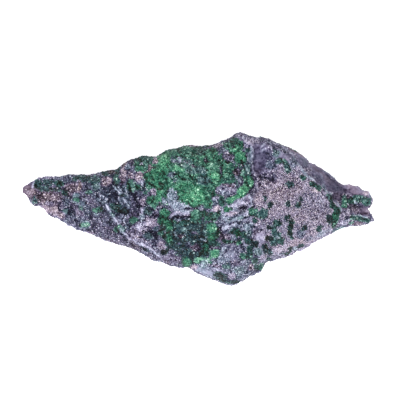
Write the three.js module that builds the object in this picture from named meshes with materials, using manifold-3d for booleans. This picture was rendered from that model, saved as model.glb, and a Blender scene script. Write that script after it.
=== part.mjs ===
// Uvarovite on matrix: an elongated, lozenge-shaped hand specimen of chromite ore.
// One fissure wall of the rock carries a druse of green chromium garnet, with a thin
// coat of pale chlorite grains beside it. Every crust grew on the rock, one node for
// each patch of crystals that has grown together.
//
// Frame: millimetres, +X along the specimen, +Y across it, +Z up, origin under the
// middle of the bounding box on the surface that the specimen rests on.
import * as THREE from "three";
import { mergeVertices } from "three/addons/utils/BufferGeometryUtils.js";
import Module from "manifold-3d";

// ---------------------------------------------------------------- driving dimensions
const UNIT = 0.24; // mm for each unit of the plan grid that the outlines are drawn on
const PLAN_X = 198.25; // plan grid column of the specimen's middle
const PLAN_Y = 208.0; // plan grid row of the specimen's middle
const RIM_ROUND = 2.6; // mm over which the upper side rounds down to the rim
const UNDER_ROUND = 1.7; // mm over which the underside rounds up to the rim
const CREASE = 0.7; // mm, how softly two broken faces meet
const COLUMNS = 72; // upper side grid, along X (even)
const ROWS = 24; // upper side grid, across (even)
const CRUST_GAP = 0.3; // mm between a crust and the rock below it
const CRUST_EDGE = 0.35; // mm, thickness of a crust at its edge

// Upper and lower edges of the outline, from the left tip to the right tip (plan grid).
const UPPER_EDGE = [
  [24, 188], [29, 183], [35, 179.5], [41, 178], [47, 176.5], [55, 177], [61, 177.5], [66, 176],
  [74, 175], [85, 175], [95, 174], [104, 171.5], [112, 169.8], [119, 168], [125, 162.5], [131, 159],
  [138, 156.8], [145, 155.2], [151, 156.5], [157, 156], [162, 153.5], [168, 149.8], [175, 148.2], [181, 146.4],
  [188, 144], [194, 144.6], [199, 146.6], [205, 146.2], [213, 144], [221, 142], [228, 139.6], [232, 136.5],
  [236, 131.8], [240, 131.2], [246, 133.8], [253, 136.4], [262, 138], [271, 139.6], [279, 143.6], [288, 147.5],
  [297, 151.8], [305, 157], [309, 162.6], [316, 165.6], [323, 170], [331, 175.2], [338, 181], [344, 184.2],
  [352, 186], [360, 189.4], [369, 193],
];
const LOWER_EDGE = [
  [24, 193], [29, 196.5], [31, 203], [37, 205.4], [44, 208], [50, 214.6], [57, 217.5], [64, 221.6],
  [70, 224.8], [77, 230], [85, 231.8], [94, 234.6], [101, 237.8], [108, 240.4], [116, 243], [124, 245],
  [131, 248], [139, 251.2], [147, 255.6], [153, 258.6], [160, 259.6], [166, 262.6], [171, 265.4], [175, 264.4],
  [181, 267], [189, 267.2], [195, 270.6], [202, 275], [209, 277], [216, 279.4], [224, 281.6], [231, 284.4],
  [236, 284.8], [241, 280.6], [248, 277], [255, 273.2], [261, 270], [264, 264.4], [268, 261], [277, 258],
  [287, 254.2], [298, 249.8], [306, 245], [316, 240.6], [325, 236.4], [334, 231.8], [342, 227.6], [350, 225.4],
  [358, 224.6], [366, 222.6], [372, 220.4],
];
// The right end is split by a notch into two prongs (from the lower edge to the upper).
const RIGHT_END = [[372, 220.4], [373.4, 217.6], [370.4, 213], [366, 209.2], [369.6, 206], [370.6, 201], [369, 193]];

// Height of the upper side at points of the plan grid: [column, row, mm above the rest].
const HEIGHTS = [
  // left arm
  [30, 190, 7.6], [48, 184, 9.2], [50, 195, 9.6], [50, 206, 8.6], [78, 181, 11.4], [80, 196, 12.4], [82, 214, 11.2],
  [108, 178, 13.0], [108, 196, 14.8], [104, 214, 13.2], [100, 228, 10.6], [124, 236, 11.6], [150, 250, 11.0],
  [128, 172, 13.4], [134, 190, 15.4], [126, 212, 14.6], [142, 224, 14.4], [140, 206, 15.6],
  // green hump
  [148, 164, 14.8], [158, 182, 18.0], [160, 198, 17.6], [172, 160, 17.0], [184, 152, 15.4], [184, 176, 20.2],
  [192, 192, 20.6], [206, 162, 18.4], [208, 182, 20.8], [222, 152, 17.0], [226, 172, 19.6], [236, 146, 16.8],
  [240, 190, 18.8], [244, 162, 17.6], [204, 202, 20.0], [178, 205, 17.6], [164, 212, 16.2],
  // dark lower middle
  [158, 226, 13.6], [180, 222, 15.6], [176, 240, 13.0], [196, 232, 14.6], [200, 248, 12.6], [168, 256, 10.2], [188, 258, 10.4],
  [216, 222, 17.0], [214, 238, 14.0], [232, 212, 17.6], [240, 226, 15.6],
  // lower knob
  [222, 252, 14.6], [238, 252, 15.6], [234, 264, 14.4], [214, 264, 12.6], [250, 256, 14.6], [232, 276, 10.0], [206, 270, 9.6],
  [246, 240, 14.4], [256, 244, 14.0], [256, 264, 11.8],
  // right slab
  [252, 176, 16.4], [262, 160, 15.8], [264, 176, 15.4], [258, 196, 17.4], [280, 176, 17.0], [276, 196, 17.0], [296, 190, 16.4],
  [262, 216, 16.4], [284, 214, 16.0], [306, 204, 15.4], [274, 234, 14.6], [296, 228, 14.2], [318, 216, 13.8], [286, 246, 12.8],
  [308, 238, 12.2], [330, 224, 12.6], [330, 208, 13.4], [250, 142, 17.2], [296, 168, 17.2], [316, 184, 15.8],
  // right tip
  [344, 212, 12.0], [344, 198, 12.4], [356, 202, 11.4], [356, 212, 10.2], [358, 218, 10.4], [366, 200, 10.2], [368, 217, 9.4], [352, 192, 11.4],
];
// Broken faces that cut the upper side: a ridge from a to b ([column, row, mm]), falling to
// its right, seen from a to b, by slope mm in each mm.
const BREAKS = [
  { a: [298, 168, 16.8], b: [246, 138, 17.6], slope: 1.0 },
  { a: [340, 215, 12.6], b: [292, 165, 17.0], slope: 0.92 },
  { a: [104, 196, 14.6], b: [136, 244, 12.2], slope: 1.05 },
  { a: [130, 240, 12.6], b: [176, 264, 9.6], slope: 1.3 },
  { a: [262, 256, 12.8], b: [338, 222, 11.6], slope: 1.9 },
];
// Height of the rim, at which the outline is widest: [column, row, mm].
const RIM_HEIGHTS = [
  [24, 190, 6.2], [60, 177, 8.2], [110, 170, 9.4], [160, 154, 10.8], [200, 146, 10.0], [240, 131, 12.4], [280, 144, 11.4],
  [310, 163, 9.6], [340, 182, 8.6], [369, 193, 8.8], [366, 209, 7.8], [372, 219, 7.2], [334, 231, 6.2], [298, 249, 5.6],
  [262, 268, 6.4], [236, 284, 5.2], [205, 276, 4.8], [176, 264, 6.4], [140, 251, 5.2], [100, 237, 4.6], [60, 219, 5.2], [32, 204, 5.6],
];
// Broken faces of the underside: each rises outwards from the rest to the outline's chord
// a to b (plan grid, anticlockwise seen from above), over inset mm.
const UNDER_BREAKS = [
  { a: [24, 193], b: [104, 240], inset: 8.5, high: 5.6 },
  { a: [94, 232], b: [178, 268], inset: 4.2, high: 5.4 },
  { a: [170, 262], b: [236, 288], inset: 3.4, high: 5.2 },
  { a: [234, 288], b: [266, 260], inset: 5.0, high: 6.2 },
  { a: [262, 266], b: [340, 228], inset: 4.0, high: 6.0 },
  { a: [330, 232], b: [374, 216], inset: 8.0, high: 7.2 },
  { a: [374, 222], b: [366, 190], inset: 12.0, high: 8.2 },
  { a: [372, 192], b: [306, 158], inset: 5.2, high: 9.4 },
  { a: [312, 160], b: [238, 130], inset: 3.8, high: 11.6 },
  { a: [242, 130], b: [182, 144], inset: 6.2, high: 10.6 },
  { a: [188, 142], b: [118, 164], inset: 4.6, high: 10.4 },
  { a: [128, 164], b: [58, 174], inset: 6.4, high: 9.0 },
  { a: [60, 172], b: [24, 188], inset: 9.5, high: 8.0 },
];
// Places where the fissure wall is nearly flat: [column, row, reach in mm, share of roughness left].
const SMOOTH = [[297, 208, 11.5, 0.3], [262, 166, 4.5, 0.3], [322, 180, 6.0, 0.6]];

// The crusts. outline: plan grid points round a middle from which all of them can be seen;
// thick: mm in the middle; cut: nodes whose outline this one is cut round.
const CRUSTS = {
  uvarovite_crown_druse: {
    colour: 0x3c9a5c, thick: 1.1, rings: 5, around: 32, middle: [196, 178],
    outline: [[142, 170], [150, 163], [162, 157], [174, 154], [188, 151], [204, 152], [220, 149], [234, 145], [243, 152],
      [246, 168], [247, 184], [241, 197], [230, 202], [219, 198], [208, 209], [192, 207], [178, 196], [168, 200], [156, 206], [148, 196], [141, 184]],
  },
  uvarovite_lower_druse: {
    colour: 0x2b5a48, thick: 1.0, rings: 4, around: 26, middle: [184, 234],
    outline: [[150, 222], [158, 216], [170, 217], [182, 216], [196, 215], [208, 213], [216, 219], [218, 230], [216, 241], [208, 250],
      [198, 256], [186, 259], [176, 256], [165, 250], [156, 242], [150, 232]],
  },
  uvarovite_knob_druse: {
    colour: 0x34614f, thick: 0.9, rings: 4, around: 24, middle: [248, 244],
    outline: [[228, 230], [238, 226], [250, 228], [258, 234], [262, 244], [261, 256], [256, 264], [248, 266], [241, 258], [236, 247], [229, 239]],
  },
  uvarovite_knob_edge_crust: {
    colour: 0x2a4a44, thick: 0.8, rings: 3, around: 18, middle: [220, 272.6],
    outline: [[209, 268.5], [215, 266.8], [221, 269], [228, 273], [232, 275.6], [229, 276.8], [221, 275.2], [213, 273]],
  },
  uvarovite_ribs_cluster: {
    colour: 0x33584a, thick: 0.8, rings: 3, around: 18, middle: [257, 214.5],
    outline: [[246, 212], [252, 208], [259, 207.4], [266, 210], [268, 215], [264, 220], [257, 222], [250, 219]],
  },
  uvarovite_slab_cluster_large: {
    colour: 0x2f5a4c, thick: 0.8, rings: 4, around: 20, middle: [275, 234],
    outline: [[270, 222], [276, 219.5], [281, 223], [282, 232], [284, 240], [280, 246], [272, 247], [266, 242], [267, 233]],
  },
  uvarovite_slab_cluster_long: {
    colour: 0x2d5a4c, thick: 0.7, rings: 3, around: 18, middle: [289.5, 226],
    outline: [[285, 217], [288.5, 214], [291.5, 219], [293, 228], [293, 236], [289.5, 238], [287, 232], [286, 225]],
  },
  uvarovite_slab_cluster_top: {
    colour: 0x2d4f48, thick: 0.7, rings: 3, around: 18, middle: [284, 165.5],
    outline: [[277, 161], [282, 159.4], [288, 162], [290, 168], [288.5, 173], [284, 173], [279, 167]],
  },
  uvarovite_ridge_cluster: {
    colour: 0x1f6a52, thick: 0.8, rings: 3, around: 16, middle: [312, 186],
    outline: [[307, 182], [311.5, 180.6], [317, 184.6], [319.6, 189.4], [315, 191.4], [308.5, 189]],
  },
  uvarovite_slab_end_druse: {
    colour: 0x2b6148, thick: 0.8, rings: 3, around: 20, middle: [332, 216],
    outline: [[326, 214], [330, 207], [334, 203], [338.6, 207], [338, 215], [337, 223], [332, 227.4], [326.6, 224], [324.6, 219]],
  },
  uvarovite_upper_prong_crust: {
    colour: 0x3f7a55, thick: 0.7, rings: 3, around: 20, middle: [353.5, 201],
    outline: [[342, 200], [346, 196.6], [353, 197], [360, 198], [365.6, 200.4], [366, 203.4], [359, 204.6], [350, 205.6], [344, 206]],
  },
  uvarovite_lower_prong_crust: {
    colour: 0x2c5c4c, thick: 0.7, rings: 3, around: 18, middle: [357, 217.2],
    outline: [[346.6, 218], [351, 215], [358, 214.4], [364.6, 215.6], [367, 217.6], [362, 219.8], [354, 220.6]],
  },
  uvarovite_arm_crust: {
    colour: 0x35564c, thick: 0.8, rings: 3, around: 26, middle: [66, 186],
    outline: [[36, 186], [42, 182.4], [52, 181], [64, 181.4], [76, 179.8], [90, 179.4], [98, 181], [96, 187], [84, 189.4], [70, 191.4], [56, 192], [42, 192]],
  },
  uvarovite_arm_spot: {
    colour: 0x4b9a74, thick: 0.6, rings: 2, around: 14, middle: [85.5, 222],
    outline: [[80, 220], [85, 218.6], [91, 221], [91.6, 224.4], [86, 225.6], [80.6, 224]],
  },
  chlorite_slab_coat: {
    colour: 0xa892a2, thick: 0.55, rings: 6, around: 34, middle: [297, 208], flat: true,
    outline: [[253, 190], [262, 188], [271, 187], [278, 181], [277, 173], [281, 168], [291, 172], [300, 179], [309, 188], [319, 199],
      [327, 207], [331, 215], [330, 224], [321, 230], [309, 235], [297, 240.6], [285, 246], [276, 250], [270, 250], [266, 242], [264, 228], [258, 217], [253, 204]],
    cut: ["uvarovite_ribs_cluster", "uvarovite_slab_cluster_large", "uvarovite_slab_cluster_long", "uvarovite_slab_cluster_top",
      "uvarovite_ridge_cluster", "uvarovite_slab_end_druse"],
  },
};

// ---------------------------------------------------------------- helpers
const toPlan = ([c, r]) => [(c - PLAN_X) * UNIT, (PLAN_Y - r) * UNIT];
const clamp = (x, a, b) => Math.min(b, Math.max(a, x));
const mix = (a, b, t) => a + (b - a) * t;

// A point at share t along a line of points, with its length evened out.
function along(points) {
  const at = [0];
  for (let i = 1; i < points.length; i++)
    at.push(at[i - 1] + Math.hypot(points[i][0] - points[i - 1][0], points[i][1] - points[i - 1][1]));
  const total = at[at.length - 1];
  return (t) => {
    const d = clamp(t, 0, 1) * total;
    let i = 1;
    while (i < at.length - 1 && at[i] < d) i++;
    const f = (d - at[i - 1]) / (at[i] - at[i - 1]);
    return [mix(points[i - 1][0], points[i][0], f), mix(points[i - 1][1], points[i][1], f)];
  };
}

// Value noise on a lattice, from -1 to 1, the same on every run.
function lattice(i, j, seed) {
  let h = Math.imul(i, 374761393) ^ Math.imul(j, 668265263) ^ Math.imul(seed, 974711);
  h = Math.imul(h ^ (h >>> 13), 1274126177);
  return (((h ^ (h >>> 16)) >>> 0) / 4294967295) * 2 - 1;
}
function noise(x, y, seed) {
  const i = Math.floor(x), j = Math.floor(y);
  const fx = x - i, fy = y - j;
  const sx = fx * fx * (3 - 2 * fx), sy = fy * fy * (3 - 2 * fy);
  return mix(
    mix(lattice(i, j, seed), lattice(i + 1, j, seed), sx),
    mix(lattice(i, j + 1, seed), lattice(i + 1, j + 1, seed), sx), sy);
}
const rough = (x, y, seed) => 0.55 * noise(x / 6.5, y / 6.5, seed) + 0.28 * noise(x / 3.1, y / 3.1, seed + 1);

// A smooth surface through scattered heights (thin-plate spline).
function spline(points) {
  const n = points.length, m = n + 3;
  const kernel = (r2) => (r2 < 1e-9 ? 0 : 0.5 * r2 * Math.log(r2));
  const a = Array.from({ length: m }, () => new Float64Array(m + 1));
  for (let i = 0; i < n; i++) {
    for (let j = 0; j < n; j++)
      a[i][j] = kernel((points[i][0] - points[j][0]) ** 2 + (points[i][1] - points[j][1]) ** 2);
    a[i][i] += 0.4;
    a[i][n] = a[n][i] = 1;
    a[i][n + 1] = a[n + 1][i] = points[i][0];
    a[i][n + 2] = a[n + 2][i] = points[i][1];
    a[i][m] = points[i][2];
  }
  for (let k = 0; k < m; k++) {
    let p = k;
    for (let i = k + 1; i < m; i++) if (Math.abs(a[i][k]) > Math.abs(a[p][k])) p = i;
    [a[k], a[p]] = [a[p], a[k]];
    for (let i = k + 1; i < m; i++) {
      const f = a[i][k] / a[k][k];
      if (f) for (let j = k; j <= m; j++) a[i][j] -= f * a[k][j];
    }
  }
  const w = new Float64Array(m);
  for (let i = m - 1; i >= 0; i--) {
    let s = a[i][m];
    for (let j = i + 1; j < m; j++) s -= a[i][j] * w[j];
    w[i] = s / a[i][i];
  }
  return (x, y) => {
    let z = w[n] + w[n + 1] * x + w[n + 2] * y;
    for (let i = 0; i < n; i++) z += w[i] * kernel((x - points[i][0]) ** 2 + (y - points[i][1]) ** 2);
    return z;
  };
}

// ---------------------------------------------------------------- the rock's surfaces
const inPlan = (list) => list.map(([c, r, z]) => [...toPlan([c, r]), z]);
const upper = UPPER_EDGE.map(toPlan), lower = LOWER_EDGE.map(toPlan), rightEnd = RIGHT_END.map(toPlan);
const upperAt = along(upper), lowerAt = along(lower), rightAt = along(rightEnd);
const border = [...lower, ...rightEnd.slice(1, -1), ...[...upper].reverse()];

function toBorder(x, y) {
  let best = 1e9;
  for (let i = 0; i < border.length; i++) {
    const [ax, ay] = border[i], [bx, by] = border[(i + 1) % border.length];
    const dx = bx - ax, dy = by - ay;
    const t = clamp(((x - ax) * dx + (y - ay) * dy) / (dx * dx + dy * dy), 0, 1);
    best = Math.min(best, Math.hypot(x - ax - t * dx, y - ay - t * dy));
  }
  return best;
}

const heightAt = spline(inPlan(HEIGHTS));
const rims = inPlan(RIM_HEIGHTS);
function rimAt(x, y) {
  let s = 0, w = 0;
  for (const [px, py, z] of rims) {
    const k = 1 / ((x - px) ** 2 + (y - py) ** 2 + 4) ** 2;
    s += k * z;
    w += k;
  }
  return s / w + 0.35 * noise(x / 5, y / 5, 31);
}
const breaks = BREAKS.map(({ a, b, slope }) => {
  const [ax, ay] = toPlan(a), [bx, by] = toPlan(b), l = Math.hypot(bx - ax, by - ay);
  return { ax, ay, az: a[2], bz: b[2], l, ux: (bx - ax) / l, uy: (by - ay) / l, slope };
});
const lesser = (a, b, k) => {
  const h = clamp(0.5 + (0.5 * (b - a)) / k, 0, 1);
  return mix(b, a, h) - k * h * (1 - h);
};
const smooth = SMOOTH.map(([c, r, reach, share]) => [...toPlan([c, r]), reach, share]);
function evenness(x, y) {
  let s = 1;
  for (const [cx, cy, reach, share] of smooth) s = Math.min(s, mix(share, 1, clamp(Math.hypot(x - cx, y - cy) / reach - 0.6, 0, 0.6) / 0.6));
  return s;
}
const round = (d, over) => Math.sqrt(1 - (1 - clamp(d / over, 0, 1)) ** 2);

function topAt(x, y) {
  const rim = rimAt(x, y), d = toBorder(x, y);
  let z = heightAt(x, y) + evenness(x, y) * rough(x, y, 5);
  for (const f of breaks) {
    const s = (x - f.ax) * f.ux + (y - f.ay) * f.uy;
    const out = (x - f.ax) * f.uy - (y - f.ay) * f.ux; // right of a to b
    z = lesser(z, mix(f.az, f.bz, s / f.l) - f.slope * out + 0.3 * noise(x / 4, y / 4, 9), CREASE);
  }
  z = Math.max(z, rim + 0.6);
  return rim + (z - rim) * round(d, RIM_ROUND);
}

const underBreaks = UNDER_BREAKS.map(({ a, b, inset, high }) => {
  const [ax, ay] = toPlan(a), [bx, by] = toPlan(b), l = Math.hypot(bx - ax, by - ay);
  return { ax, ay, nx: -(by - ay) / l, ny: (bx - ax) / l, inset, high };
});
// The underside is a broad flat break in the middle, and broken faces rise from it to the rim.
function underAt(x, y) {
  const rim = rimAt(x, y), d = toBorder(x, y);
  let lift = Math.max(0, (-27.5 - x) * 0.17, (x - 30.5) * 0.2);
  for (const f of underBreaks) {
    const inwards = (x - f.ax) * f.nx + (y - f.ay) * f.ny + 0.9 * noise(x / 5, y / 5, 17);
    lift = Math.max(lift, (f.high * (f.inset - inwards)) / f.inset);
  }
  if (lift > 0.01) lift += 0.5 * (1 + noise(x / 3.3, y / 3.3, 41)) * clamp(lift / 1.5, 0, 1);
  const z = Math.min(lift, rim - 1.0 - 0.12 * d);
  return z <= 0.01 ? 0 : rim - (rim - z) * round(d, UNDER_ROUND);
}

// Plan position of a grid point: u from the left tip to the right end, v from the lower edge up.
function planAt(u, v) {
  const b = lowerAt(u), t = upperAt(u);
  let x = mix(b[0], t[0], v), y = mix(b[1], t[1], v);
  const w = clamp(1 - (1 - u) / 0.07, 0, 1) ** 1.5;
  if (w > 0) {
    const e = rightAt(v), c0 = rightEnd[0], c1 = rightEnd[rightEnd.length - 1];
    x += w * (e[0] - mix(c0[0], c1[0], v));
    y += w * (e[1] - mix(c0[1], c1[1], v));
  }
  return [x, y];
}

// ---------------------------------------------------------------- the rock
function buildMatrix() {
  const points = [], tris = [], topId = new Map(), underId = new Map();
  const key = (i, j) => i * 1000 + j;
  const onRim = (i, j) => i === 0 || j === 0 || i === COLUMNS || j === ROWS;
  for (let i = 0; i <= COLUMNS; i++)
    for (let j = 0; j <= ROWS; j++) {
      const v = j / ROWS;
      const [x, y] = planAt(i / COLUMNS, v - 0.035 * Math.sin(2 * Math.PI * v));
      const z = onRim(i, j) ? rimAt(x, y) : topAt(x, y);
      topId.set(key(i, j), points.length / 3);
      if (onRim(i, j)) underId.set(key(i, j), points.length / 3);
      points.push(x, y, z);
      if (!onRim(i, j) && i % 2 === 0 && j % 2 === 0) {
        underId.set(key(i, j), points.length / 3);
        points.push(x, y, underAt(x, y));
      }
    }
  for (let i = 0; i < COLUMNS; i++)
    for (let j = 0; j < ROWS; j++) {
      const a = topId.get(key(i, j)), b = topId.get(key(i + 1, j)), c = topId.get(key(i + 1, j + 1)), d = topId.get(key(i, j + 1));
      const flip = Math.abs(points[3 * a + 2] - points[3 * c + 2]) > Math.abs(points[3 * b + 2] - points[3 * d + 2]);
      if (flip) tris.push(a, b, d, b, c, d);
      else tris.push(a, b, c, a, c, d);
    }
  for (let i = 0; i < COLUMNS; i += 2)
    for (let j = 0; j < ROWS; j += 2) {
      // the cell's corners and the rim points between them, clockwise from below
      const ring = [];
      const walk = [[0, 0], [0, 1], [0, 2], [1, 2], [2, 2], [2, 1], [2, 0], [1, 0]];
      for (const [di, dj] of walk) {
        const k = key(i + di, j + dj);
        if ((di !== 1 && dj !== 1) || onRim(i + di, j + dj)) ring.push([underId.get(k), onRim(i + di, j + dj)]);
      }
      let s = ring.findIndex(([, r]) => !r);
      if (s < 0) s = 0;
      // start next to the rim, so that each fan triangle has some height
      const n = ring.length, rim = (k) => ring[(s + k) % n][1];
      if (n === 5) while (!(rim(0) === false && rim(n - 1) === true) && s < 2 * n) s++;
      for (let k = 1; k < n - 1; k++) tris.push(ring[s % n][0], ring[(s + k) % n][0], ring[(s + k + 1) % n][0]);
    }
  const g = new THREE.BufferGeometry();
  g.setAttribute("position", new THREE.Float32BufferAttribute(points, 3));
  g.setIndex(tris);
  return g;
}

const rock = buildMatrix();

// Highest point of the rock's own facets near a plan point.
const facets = [];
{
  const p = rock.getAttribute("position").array, n = COLUMNS * ROWS * 2, ix = rock.getIndex().array;
  for (let t = 0; t < n; t++) {
    const [a, b, c] = [ix[3 * t], ix[3 * t + 1], ix[3 * t + 2]].map((k) => [p[3 * k], p[3 * k + 1], p[3 * k + 2]]);
    facets.push({ a, b, c, x0: Math.min(a[0], b[0], c[0]), x1: Math.max(a[0], b[0], c[0]), y0: Math.min(a[1], b[1], c[1]), y1: Math.max(a[1], b[1], c[1]) });
  }
}
function facetHeight(x, y) {
  let best = -1e9;
  for (const { a, b, c, x0, x1, y0, y1 } of facets) {
    if (x < x0 - 1e-6 || x > x1 + 1e-6 || y < y0 - 1e-6 || y > y1 + 1e-6) continue;
    const det = (b[0] - a[0]) * (c[1] - a[1]) - (c[0] - a[0]) * (b[1] - a[1]);
    const s = ((x - a[0]) * (c[1] - a[1]) - (c[0] - a[0]) * (y - a[1])) / det;
    const t = ((b[0] - a[0]) * (y - a[1]) - (x - a[0]) * (b[1] - a[1])) / det;
    if (s >= -1e-6 && t >= -1e-6 && s + t <= 1 + 1e-6) best = Math.max(best, a[2] + s * (b[2] - a[2]) + t * (c[2] - a[2]));
  }
  return best;
}
function clearHeight(x, y, reach) {
  let z = facetHeight(x, y);
  for (let k = 0; k < 8; k++) {
    const q = (k * Math.PI) / 4;
    z = Math.max(z, facetHeight(x + reach * Math.cos(q), y + reach * Math.sin(q)));
  }
  return z;
}

// ---------------------------------------------------------------- the crusts
// A closed sheet over the rock: rings of points from the middle to the outline.
function sheetOver({ outline, middle, rings, around, thick, flat }, lift, seed) {
  const ringOf = along([...outline.map(toPlan), toPlan(outline[0])]);
  const [cx, cy] = toPlan(middle), top = [], under = [], reach = flat ? 0.5 : 0.6;
  const put = (x, y, share) => {
    const z = clearHeight(x, y, reach) + lift;
    const crown = flat ? 1 - share ** 8 : Math.sqrt(Math.max(0, 1 - share ** 2.6));
    const bump = flat ? 0 : 0.22 * noise(x / 1.7, y / 1.7, seed) * (1 - share);
    top.push([x, y, z + CRUST_EDGE + (thick - CRUST_EDGE) * crown + bump]);
    under.push([x, y, z]);
  };
  put(cx, cy, 0);
  for (let r = 1; r <= rings; r++)
    for (let k = 0; k < around; k++) {
      const [ox, oy] = ringOf(k / around), share = r / rings;
      put(mix(cx, ox, share), mix(cy, oy, share), share);
    }
  // the outline runs clockwise or anticlockwise, so the faces are turned to suit
  let area = 0;
  for (let k = 0; k < around; k++) {
    const a = ringOf(k / around), b = ringOf((k + 1) / around);
    area += a[0] * b[1] - b[0] * a[1];
  }
  const tris = [], n = top.length, id = (r, k) => (r === 0 ? 0 : 1 + (r - 1) * around + (k % around));
  for (let r = 0; r < rings; r++)
    for (let k = 0; k < around; k++) {
      const a = id(r, k), b = id(r + 1, k), c = id(r + 1, k + 1), d = id(r, k + 1);
      tris.push([a, b, c]);
      if (r > 0) tris.push([a, c, d]);
    }
  const faces = [...tris, ...tris.map(([a, b, c]) => [a + n, c + n, b + n])];
  for (let k = 0; k < around; k++) {
    const a = id(rings, k), b = id(rings, k + 1);
    faces.push([a, a + n, b + n], [a, b + n, b]);
  }
  const g = new THREE.BufferGeometry();
  g.setAttribute("position", new THREE.Float32BufferAttribute([...top, ...under].flat(), 3));
  g.setIndex(faces.flatMap(([a, b, c]) => (area > 0 ? [a, b, c] : [a, c, b])));
  return g;
}

const wasm = await Module();
wasm.setup();
function solidOf(geometry) {
  const g = geometry.clone();
  for (const name of Object.keys(g.attributes)) if (name !== "position") g.deleteAttribute(name);
  const merged = mergeVertices(g, 1e-4);
  return new wasm.Manifold(new wasm.Mesh({
    numProp: 3,
    vertProperties: new Float32Array(merged.attributes.position.array),
    triVerts: new Uint32Array(merged.index.array),
  }));
}
function geometryOf(solid) {
  const m = solid.getMesh(), g = new THREE.BufferGeometry(), v = new Float32Array(m.numVert * 3);
  for (let i = 0; i < m.numVert; i++) v.set(m.vertProperties.subarray(i * m.numProp, i * m.numProp + 3), 3 * i);
  g.setAttribute("position", new THREE.BufferAttribute(v, 3));
  g.setIndex(new THREE.BufferAttribute(new Uint32Array(m.triVerts), 1));
  return g;
}
// An upright prism round a crust's outline, a little wider than it.
function prismRound({ outline, middle }, wider) {
  const [cx, cy] = toPlan(middle);
  const shape = new THREE.Shape(outline.map((p) => {
    const [x, y] = toPlan(p), l = Math.hypot(x - cx, y - cy);
    return new THREE.Vector2(cx + ((x - cx) * (l + wider)) / l, cy + ((y - cy) * (l + wider)) / l);
  }));
  return new THREE.ExtrudeGeometry(shape, { depth: 60, bevelEnabled: false, steps: 1 });
}

const rockSolid = solidOf(rock);
const made = new Map([["chromite_matrix", { geometry: rock, colour: 0x6d6578, rough: 0.85 }]]);
let seed = 100;
for (const [name, crust] of Object.entries(CRUSTS)) {
  let lift = CRUST_GAP, geometry, tries = 0;
  do {
    geometry = sheetOver(crust, lift, (seed += 7));
    lift += 0.08;
  } while (solidOf(geometry).intersect(rockSolid).volume() > 0 && ++tries < 12);
  if (crust.cut) {
    let solid = solidOf(geometry);
    for (const other of crust.cut) solid = solid.subtract(solidOf(prismRound(CRUSTS[other], 0.35)));
    const parts = solid.decompose().sort((a, b) => b.volume() - a.volume());
    geometry = geometryOf(parts[0]);
  }
  made.set(name, { geometry, colour: crust.colour, rough: name.startsWith("uvarovite") ? 0.35 : 0.7 });
}

// ---------------------------------------------------------------- the specimen
const specimen = new THREE.Group();
specimen.name = "uvarovite_on_matrix";
for (const [name, { geometry, colour, rough: roughness }] of made) {
  geometry.computeVertexNormals();
  const mesh = new THREE.Mesh(geometry, new THREE.MeshStandardMaterial({ color: colour, roughness, metalness: 0, flatShading: true }));
  mesh.name = name;
  specimen.add(mesh);
}
// The origin goes under the middle of the bounding box.
const box = new THREE.Box3().setFromObject(specimen);
const frame = new THREE.Group();
specimen.position.set(-(box.min.x + box.max.x) / 2, -(box.min.y + box.max.y) / 2, -box.min.z);
frame.add(specimen);
export default frame;
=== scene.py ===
"""Uvarovite on chromite matrix: the looks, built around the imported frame.

The rock is remeshed finely and broken up by mesh code: facets, ridges, crevices and
hollows.  Every crust is a joined mesh of single garnet crystals (rhombic dodecahedra) or
chlorite grains grown on that rock.  Lengths in the code are millimetres; the meshes are
written in metres.
"""
import math

import bpy
import bmesh
import numpy as np
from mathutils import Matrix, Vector


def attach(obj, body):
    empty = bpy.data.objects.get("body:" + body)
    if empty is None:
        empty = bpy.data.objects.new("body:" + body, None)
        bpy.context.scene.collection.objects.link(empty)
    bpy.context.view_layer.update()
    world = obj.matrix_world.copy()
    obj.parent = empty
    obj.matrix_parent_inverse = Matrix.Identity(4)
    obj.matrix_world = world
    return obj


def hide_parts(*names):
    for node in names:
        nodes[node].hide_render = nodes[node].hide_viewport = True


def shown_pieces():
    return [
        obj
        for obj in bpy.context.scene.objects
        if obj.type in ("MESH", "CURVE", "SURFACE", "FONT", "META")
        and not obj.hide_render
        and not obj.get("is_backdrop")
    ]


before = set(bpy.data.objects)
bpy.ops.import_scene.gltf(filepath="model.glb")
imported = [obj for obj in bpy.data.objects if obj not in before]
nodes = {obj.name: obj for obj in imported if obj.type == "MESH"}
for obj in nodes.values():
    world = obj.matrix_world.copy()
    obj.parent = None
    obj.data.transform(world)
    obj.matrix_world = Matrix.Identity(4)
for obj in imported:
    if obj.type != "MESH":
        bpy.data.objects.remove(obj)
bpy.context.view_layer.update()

# ------------------------------------------------------------------ camera
# Straight above the specimen, which lies on its back; the frame is 400 x 400.
MM = 0.001
FRAME_MM = 96.0           # width of the frame at the specimen's rim
LENS = 135.0
cam_data = bpy.data.cameras.new("camera")
cam_data.lens = LENS
cam_data.sensor_width = 36.0
cam_data.clip_start = 0.01
cam_data.clip_end = 10.0
camera = bpy.data.objects.new("camera", cam_data)
bpy.context.scene.collection.objects.link(camera)
camera.location = Vector((0.42, 1.90, 7.0 + FRAME_MM * LENS / 36.0)) * MM
camera.rotation_euler = (0.0, 0.0, 0.0)
bpy.context.scene.camera = camera

# ------------------------------------------------------------------ plan grid
# The same plan grid as the solids' outlines: column to the right, row towards -Y.
UNIT, PLAN_X, PLAN_Y, SHIFT_X = 0.24, 198.25, 208.0, -0.10


def plan_of(c, r):
    return (c - PLAN_X) * UNIT + SHIFT_X, (PLAN_Y - r) * UNIT


def grid_of(x, y):
    return (x - SHIFT_X) / UNIT + PLAN_X, PLAN_Y - y / UNIT


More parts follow.
